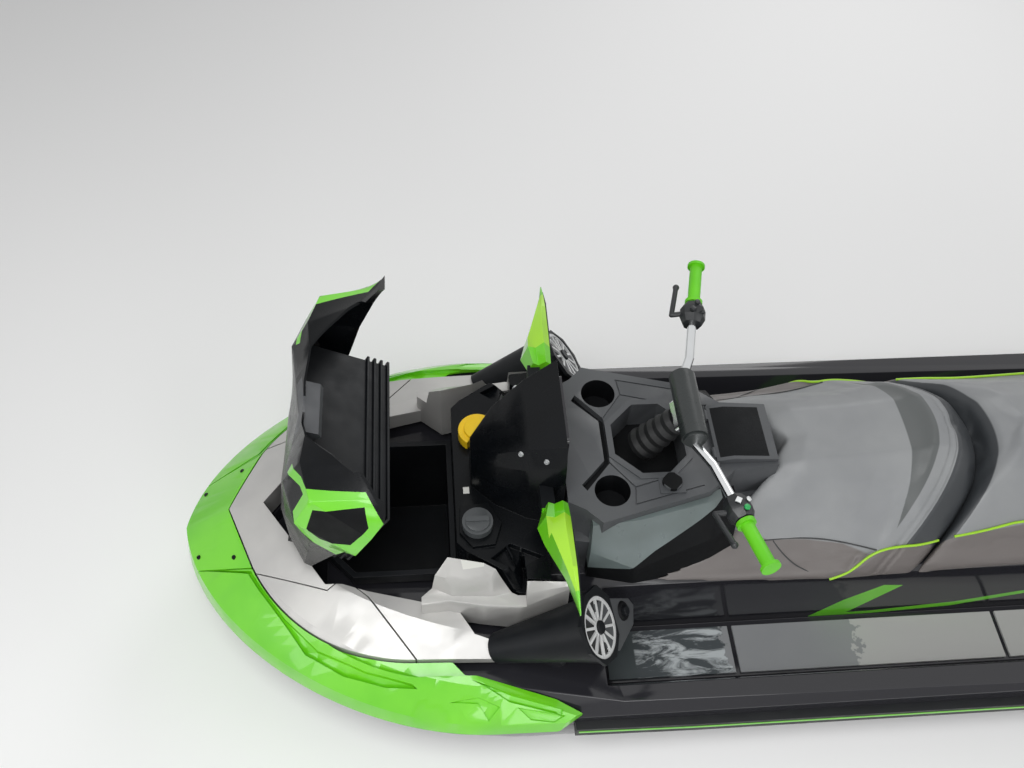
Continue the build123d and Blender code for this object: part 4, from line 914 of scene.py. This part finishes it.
@dataclass
class SpeakerPlates:
    """The plate that carries a knob inboard of each speaker, in the speaker's own plane, and the speaker's hub.

    Its outline runs from the speaker's centre, to port and then down and aft, in millimetres.
    """

    outline: tuple[Span, ...] = (
        (-50, -30), (-85, 28), (-122, 140), (-112, 168), (-60, 170), (30, 104), (40, 40),
    )
    depth_mm: float = 9.0
    behind_mm: float = 5.0
    knob: Span = (-78.0, 112.0)
    knob_radius: float = 27.0
    knob_heights: Span = (7.0, 15.0)
    pointer: float = 0.55
    hub_radius: float = 19.0
    hub_proud: float = 4.0
    taper: float = 0.86
    sunk: float = 1.0

    def build(self) -> Piece:
        """Extrudes both plates, rounds them and stands the knobs and hubs on them."""
        work = bmesh.new()
        for side in Side:
            out = on_side(SPEAKER_FACING, side).normalized()
            across = Vector((0.0, side.value, 0.0))
            across = (across - out * across.dot(out)).normalized()
            down = out.cross(across).normalized() * side.value
            centre = on_side(SPEAKER_CENTRE, side) - out * self.behind_mm * MM
            slab(work, [centre + (across * u + down * v) * MM for u, v in self.outline], -out * self.depth_mm * MM)
            knob = centre + (across * self.knob[0] + down * self.knob[1]) * MM
            for foot, radius, height, index in (
                (knob, self.knob_radius, self.knob_heights[0], 1),
                (knob, self.knob_radius * self.pointer, self.knob_heights[1], 2),
                (centre, self.hub_radius, self.behind_mm + self.hub_proud, 2),
            ):
                place = standing(foot + out * (height / 2 - self.sunk) * MM, out)
                for face in stud(work, place, (radius, radius * self.taper), height, 32):
                    face.material_index = index
        bmesh.ops.recalc_face_normals(work, faces=work.faces)
        piece = finish_piece(work, "speaker_plates", "craft", [GREY_ABS, BLACK_ABS_AND_SHADE, BLACK_ABS])
        round_edges(piece, 1.5, 40)
        return piece


@dataclass
class SpeakerGrille:
    """The chromed spokes of each speaker over black cloth, split by how far behind the face they lie."""

    cloth_from_mm: float = 8.7

    def build(self) -> Piece:
        """Paints the cloth and rounds the spokes."""
        work = merged_copy("speaker_grilles")
        for face in work.faces:
            centre = face.calc_center_median()
            side = Side.PORT if centre.y > 0 else Side.STARBOARD
            depth = (centre - on_side(SPEAKER_CENTRE, side)).dot(on_side(SPEAKER_FACING, side).normalized())
            if depth < -self.cloth_from_mm * MM:
                face.material_index = 1
        piece = finish_piece(work, "speaker_grilles_dressed", "craft", [GRILLE_CHROME, GRILLE_CLOTH])
        round_edges(piece, 0.9, 40)
        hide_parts("speaker_grilles")
        return piece


@dataclass
class MirrorLeaves:
    """The two-lobed mirror housings, bridged through sections from the stalk out to the tip.

    Each section runs rear top, ridge, front of the ridged lobe, nose top, nose, underside, rear bottom, as X and Z.
    """

    stations: tuple[tuple[float, tuple[Span, ...]], ...] = (
        (0.215, ((751, 735), (765, 750), (785, 735), (800, 745), (812, 705), (790, 690), (751, 692))),
        (0.262, ((751, 752), (768, 775), (790, 752), (811, 760), (829, 700), (800, 668), (751, 674))),
        (0.310, ((751, 757), (768, 775), (803, 764), (807, 735), (815, 700), (790, 665), (751, 662))),
        (0.400, ((751, 762), (762, 766), (776, 756), (778, 728), (775, 700), (765, 675), (751, 672))),
        (0.455, ((751, 750), (756, 750), (760, 745), (762, 725), (760, 700), (757, 690), (751, 690))),
        (0.505, ((751, 728), (752, 728), (753, 727), (754, 725), (753, 722), (752, 721), (751, 721))),
    )
    highlight_span: Span = (0.26, 0.46)
    highlight_above: float = 0.745
    highlight_facing: float = 0.35
    stalk: tuple[Span, ...] = ((150, 640), (222, 694), (222, 728), (150, 716))
    stalk_end: float = 0.2
    stalk_front: float = 0.815
    stalk_rear: float = 0.781

    def build(self) -> Piece:
        """Bridges the sections on both sides, paints a highlight on the lobes' upper faces and adds the dark stalks.
        """
        work = bmesh.new()
        for side in Side:
            loops = []
            for y, section in self.stations:
                verts = [work.verts.new((x * MM, side.value * y, z * MM)) for x, z in section]
                loops.append([work.edges.new((a, b)) for a, b in zip(verts, [*verts[1:], verts[0]])])
            for first, second in zip(loops, loops[1:]):
                bmesh.ops.bridge_loops(work, edges=first + second)
            for loop in (loops[0], loops[-1]):
                bmesh.ops.contextual_create(work, geom=loop)
            corners = [(self.stalk_rear, side.value * y * MM, z * MM) for y, z in self.stalk]
            slab(work, corners, (self.stalk_front - self.stalk_rear, 0, 0))
        bmesh.ops.recalc_face_normals(work, faces=work.faces)
        # Faces that look up, high on the lobes, get the lighter lime as a painted highlight; the stalk's faces are
        # black
        for face in work.faces:
            centre = face.calc_center_median()
            lit = face.normal.z > self.highlight_facing and centre.z > self.highlight_above
            if abs(centre.y) < self.stalk_end:
                face.material_index = 2
            elif lit and self.highlight_span[0] < abs(centre.y) < self.highlight_span[1]:
                face.material_index = 1
        finishes = [LIME_GELCOAT, LIME_PAINTED_HIGHLIGHT, BLACK_ABS]
        piece = finish_piece(work, "mirror_leaves", body_of("mirror_housings"), finishes)
        round_edges(piece, 3, 25, harden=True)
        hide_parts("mirror_housings")
        return piece


@dataclass
class RailInsert:
    """The lime strip let into the rubber rail on each side, where rays from outboard meet the rail.

    foot has the height of the strip's lower edge in millimetres, by station.
    """

    rear: float = -1.76
    front: float = 0.72
    foot: tuple[Span, ...] = ((-1.768, 150.0), (0.4, 170.0), (1.0, 200.0))
    outboard: float = 1.0
    height_mm: float = 9.0
    thick_mm: float = 2.0
    stand_mm: float = 1.2
    stations: int = 40

    def build(self) -> Piece:
        """Follows the rail's outer face and lays a thin strip on it."""
        rail = shell(frame["nodes"]["bond_rail"])
        work = bmesh.new()
        for side in Side:
            verts = []
            for k in range(self.stations + 1):
                x = self.rear + (self.front - self.rear) * k / self.stations
                z = along_table(self.foot, x) * MM
                hit = rail.ray_cast(on_side((x, self.outboard, z), side), on_side((0.0, -1.0, 0.0), side))[0]
                if hit is not None:
                    verts.append(work.verts.new((hit.x, hit.y + side.value * self.stand_mm * MM, z)))
            edges = [work.edges.new(pair) for pair in zip(verts, verts[1:])]
            drawn = bmesh.ops.extrude_edge_only(work, edges=edges)
            upper = [g for g in drawn["geom"] if isinstance(g, bmesh.types.BMVert)]
            bmesh.ops.translate(work, verts=upper, vec=(0, 0, self.height_mm * MM))
        bmesh.ops.solidify(work, geom=work.faces[:], thickness=self.thick_mm * MM)
        bmesh.ops.recalc_face_normals(work, faces=work.faces)
        return finish_piece(work, "rail_insert", "craft", [LIME_GELCOAT], 40.0)


@dataclass
class Studio:
    """The camera at the photograph's viewpoint, the floor at the waterline and soft lights."""

    place: Point = (1.06057, 1.47601, 2.91593)
    heading: float = -0.12168
    pitch: float = 0.92502
    roll: float = 0.05915
    focal_px: float = 1028.68
    sensor_mm: float = 36.0
    floor_half: float = 30.0
    floor_colour: str = "F2F2F2"
    surround: float = 0.3
    lamps: tuple[tuple[str, Point, Point, float, float], ...] = (
        ("key", (1.6, 1.6, 4.4), (0.3, 0.0, 0.2), 2.6, 112.0),
        ("fill", (4.2, 2.6, 2.6), (0.6, 0.0, 0.3), 2.4, 34.0),
        ("flank", (-0.3, 4.6, 1.9), (-0.2, 0.3, 0.25), 2.2, 50.0),
        ("back", (-1.5, -4.0, 3.2), (0.0, 0.0, 0.3), 2.6, 60.0),
        ("stern", (-5.0, 1.5, 3.0), (-0.8, 0.0, 0.3), 2.4, 40.0),
    )

    def camera(self) -> None:
        """Stands the camera where the photograph was taken from."""
        az, el = self.heading, self.pitch
        forward = Vector((math.sin(az) * math.cos(el), -math.cos(az) * math.cos(el), -math.sin(el)))
        right = Vector((-math.cos(az), -math.sin(az), 0.0))
        up = right.cross(forward)
        level = Matrix.Rotation(-self.roll, 3, forward)
        right, up = level @ right, level @ up
        data = bpy.data.cameras.new("viewpoint")
        data.sensor_width = self.sensor_mm
        data.lens = self.focal_px * self.sensor_mm / IMAGE_WIDTH
        eye = placed("viewpoint", data)
        turn = Matrix((right, up, -forward)).transposed().to_4x4()
        eye.matrix_world = Matrix.Translation(self.place) @ turn
        bpy.context.scene.camera = eye

    def seen(self, tree: Tree) -> Socket:
        """One where the camera, a reflection or a glass looks at the backdrop."""
        rays = add_node(tree, "ShaderNodeLightPath", {}, {}).outputs
        first = maths(tree, "MAXIMUM", rays["Is Camera Ray"], rays["Is Glossy Ray"])
        return maths(tree, "MAXIMUM", first, rays["Is Transmission Ray"])

    def floor(self) -> None:
        """A plain pale floor at the waterline, which keeps the craft's shadow."""
        work = bmesh.new()
        bmesh.ops.create_grid(work, x_segments=1, y_segments=1, size=self.floor_half)
        mesh = bpy.data.meshes.new("floor")
        work.to_mesh(mesh)
        work.free()
        made = bpy.data.materials.new("matt_pale_floor")
        made.use_nodes = True
        shader = made.node_tree.nodes["Principled BSDF"]
        shader.inputs["Base Color"].default_value = linear(self.floor_colour)
        shader.inputs["Roughness"].default_value = 0.9
        mesh.materials.append(made)
        placed("floor", mesh)

    def lights(self) -> None:
        """A large soft key overhead, a fill from the bow quarter and rims from the flanks and the stern."""
        for name, place, target, size, power in self.lamps:
            data = bpy.data.lights.new(name, "AREA")
            data.shape = "DISK"
            data.size = size
            data.energy = power
            aim = (Vector(target) - Vector(place)).to_track_quat("-Z", "Y")
            placed(name, data).matrix_world = Matrix.Translation(place) @ aim.to_matrix().to_4x4()

    def world(self) -> None:
        """An even pale surround, white where the camera, gloss or glass sees it."""
        world = bpy.data.worlds.new("studio")
        bpy.context.scene.world = world
        world.use_nodes = True
        tree = world.node_tree
        tree.nodes.clear()
        soft, white = (
            add_node(tree, "ShaderNodeBackground", {"Color": linear("FFFFFF"), "Strength": strength}, {}).outputs[0]
            for strength in (self.surround, 1.0)
        )
        mix = add_node(tree, "ShaderNodeMixShader", {}, {0: self.seen(tree), 1: soft, 2: white})
        add_node(tree, "ShaderNodeOutputWorld", {}, {0: mix.outputs[0]})

    def build(self) -> None:
        """Sets the whole stage."""
        self.camera()
        self.floor()
        self.lights()
        self.world()
        bpy.context.scene.view_settings.view_transform = "Standard"


# The lid's flank, outlined with the lid shut: a fin ahead, a lime frame round a bare black field, and the handle's
# grey strip across the front
LID_PATCHES = (
    Patch(
        LIME_GELCOAT, Plan.TOP, ((1016, 188), (994, 178), (950, 236), (936, 292), (956, 296), (966, 250)),
        (600, 700), facing=0.05,
    ),
    Patch(
        LIME_GELCOAT, Plan.SIDE,
        ((940, 645), (1030, 642), (1074, 606), (1127, 549), (1180, 470), (1003, 484), (925, 487), (868, 489),
         (866, 535)),
        (250, 420), facing=0.05,
    ),
    Patch(
        BLACK_ABS_AND_SHADE, Plan.SIDE, ((961, 621), (1036, 606), (1062, 562), (1008, 510), (913, 507), (880, 531)),
        (250, 420), facing=0.05,
    ),
    Patch(GREY_ABS, Plan.TOP, ((998, -80), (1034, -80), (1034, 80), (998, 80)), (570, 660), False),
)
# The console's well, the channel ahead of it, the cups and the box aft as painted shade, and the black knob beside the
# well
CONSOLE_PATCHES = (
    Patch(BLACK_ABS_AND_SHADE, Plan.TOP, ((606, 46), (542, 108), (470, 108), (420, 60), (420, 0), (606, 0)), (500, 684)),
    Patch(
        BLACK_ABS_AND_SHADE, Plan.TOP,
        ((702, 132), (636, 62), (636, -62), (702, -132), (690, -150), (622, -70), (622, 70), (690, 150)),
        (600, 679.5), False,
    ),
    Patch(
        BLACK_ABS_AND_SHADE, Plan.TOP,
        ((673, 133), (673, 173), (646, 200), (606, 200), (579, 173), (579, 133), (606, 106), (646, 106)), (500, 678),
    ),
    Patch(BLACK_ABS_AND_SHADE, Plan.TOP, ((332, 75), (192, 75), (192, 0), (332, 0)), (500, 678)),
    Patch(BLACK_ABS_AND_SHADE, Plan.TOP, ((504, 141), (472, 173), (440, 141), (472, 109)), (684.5, 700), False),
)
# The lime flash on the side of the footwell, and its tail
STRIPE_PATCHES = (
    Patch(
        LIME_GELCOAT, Plan.SIDE, ((5, 134), (-72, 235), (-164, 321), (-221, 314), (-108, 152), (-60, 134)),
        (280, 290),
    ),
    Patch(
        LIME_GELCOAT, Plan.SIDE,
        ((-40, 134), (-180, 134), (-420, 158), (-610, 214), (-1150, 396), (-1150, 408), (-610, 236), (-420, 183),
         (-180, 152), (-100, 150)),
        (280, 290),
    ),
)
# Where the shut lid's rear corners come down beside the dash cowl
HOOD_EASE = Ease((850, 246, 520), (872, 254, 560), 4.0)
# Below this edge the knee panel drops away into a channel, painted near black as painted shade
KNEE_PATCHES = (
    Patch(
        BLACK_ABS_AND_SHADE, Plan.SIDE,
        ((200, 670), (330, 655), (350, 644), (400, 614), (451, 586), (515, 549), (577, 498), (720, 472), (720, 400),
         (200, 400)),
        (100, 420),
    ),
)
# All of the mirror plates but their reflecting faces
MIRROR_RIM = (Patch(BLACK_ABS, Plan.FRONT, ((200, 400), (700, 400), (700, 1100), (200, 1100)), facing=-0.5),)
# Blank films on the glovebox cover, on the bin's frame and on the upper cowls
COVER_FILM = (Patch(PIANO_ABS, Plan.TOP, ((336, -78), (336, 78), (205, 78), (205, -78)), (690, 710), False),)
LABEL_PATCH = (Patch(BLANK_LABEL, Plan.TOP, ((985, 48), (1001, 48), (1001, 68), (985, 68)), (550, 560), False),)
COWL_LABEL = (
    Patch(BLANK_LABEL, Plan.TOP, ((1020, 258), (965, 258), (958, 288), (1012, 288)), (500, 700), False),
)

# The routes of the seat's piping and welts, near the cover to port, in metres
FRONT_PIPING = (
    (0.037, 0.31, 0.444), (0.006, 0.308, 0.463), (-0.023, 0.301, 0.485), (-0.058, 0.294, 0.51),
    (-0.094, 0.282, 0.53), (-0.145, 0.274, 0.531), (-0.204, 0.27, 0.524), (-0.253, 0.257, 0.521),
)
REAR_PIPING = (
    (-0.289, 0.263, 0.545), (-0.353, 0.261, 0.557), (-0.414, 0.25, 0.564), (-0.474, 0.241, 0.574),
    (-0.8, 0.235, 0.58), (-1.05, 0.22, 0.57),
)
FLANK_WELT = (
    (0.25, 0.225, 0.51), (0.19, 0.232, 0.524), (0.108, 0.237, 0.533), (0.009, 0.254, 0.531), (-0.078, 0.285, 0.527),
)
KNEE_WELT = ((0.19, 0.236, 0.522), (0.154, 0.272, 0.481), (0.087, 0.3, 0.459), (0.037, 0.31, 0.444))


DOWN: Point = (0.0, 0.0, -1.0)
INBOARD: Point = (0.0, -1.0, 0.0)
SOFTENED = (
    SoftenedPart("bow_cap", 4), SoftenedPart("bow_fairings", 5), SoftenedPart("front_cowl"),
    SoftenedPart("side_cowls"), SoftenedPart("upper_cowls", 3, COWL_LABEL),
    SoftenedPart("storage_lid", 2, LID_PATCHES, closed_turn=62.0), SoftenedPart("lid_liner", 2),
    SoftenedPart("dash_cowl", 2, LABEL_PATCH, ease=HOOD_EASE), SoftenedPart("console", 2.5, CONSOLE_PATCHES),
    SoftenedPart("knee_panels", 4, KNEE_PATCHES), SoftenedPart("glovebox_cover", 4, COVER_FILM),
    SoftenedPart("speaker_pods"), SoftenedPart("deck", 6, STRIPE_PATCHES), SoftenedPart("hull"),
    SoftenedPart("storage_bin"), SoftenedPart("fuel_cap", 2), SoftenedPart("oil_cap", 2),
    SoftenedPart("mirror_glasses", 0.5, MIRROR_RIM), SoftenedPart("bar_controls", 2),
    SoftenedPart("mooring_cleats", 2),
)
SEATS = (PaddedSeat("front_seat", creases=(-0.296, -0.318)), PaddedSeat("rear_seat", creases=(-0.93,)))
PIPINGS = (
    Piping("front_piping", "front_seat", FRONT_PIPING), Piping("rear_piping", "rear_seat", REAR_PIPING),
    Piping("flank_welt", "front_seat", FLANK_WELT, 1.8, 0.2, SEAT_WELT),
    Piping("knee_welt", "front_seat", KNEE_WELT, 1.8, 0.2, SEAT_WELT),
)
FIXINGS = (
    ScrewSet("cap_screws", "bow_cap", (((1.732, 0.1, 1.0), DOWN), ((1.623, 0.137, 1.0), DOWN)), BLACK_ABS),
    ScrewSet(
        "hood_screws", "dash_cowl", (((0.86, 1.0, 0.79), INBOARD), ((0.80, 1.0, 0.80), INBOARD)), SATIN_STEEL, 8.0
    ),
)


def main() -> None:
    """Builds the stage and every piece."""
    logging.basicConfig(level=logging.INFO, format="%(name)s: %(message)s")
    Studio().build()
    for node, finish in NODE_FINISH.items():
        mesh = frame["nodes"][node].data
        mesh.materials.clear()
        mesh.materials.append(finish.material())
    for part in SOFTENED:
        log.info("softened %s", part.build().name)
    cushions = {seat.node: seat.build() for seat in SEATS}
    for piping in PIPINGS:
        log.info("piping %s", piping.build(cushions[piping.node]).name)
    for piece in (*FIXINGS, MirrorLeaves(), BarKeys(), SpeakerPlates(), RailInsert(), SpeakerGrille()):
        log.info("dressed %s", piece.build().name)


if __name__ == "__main__":
    main()
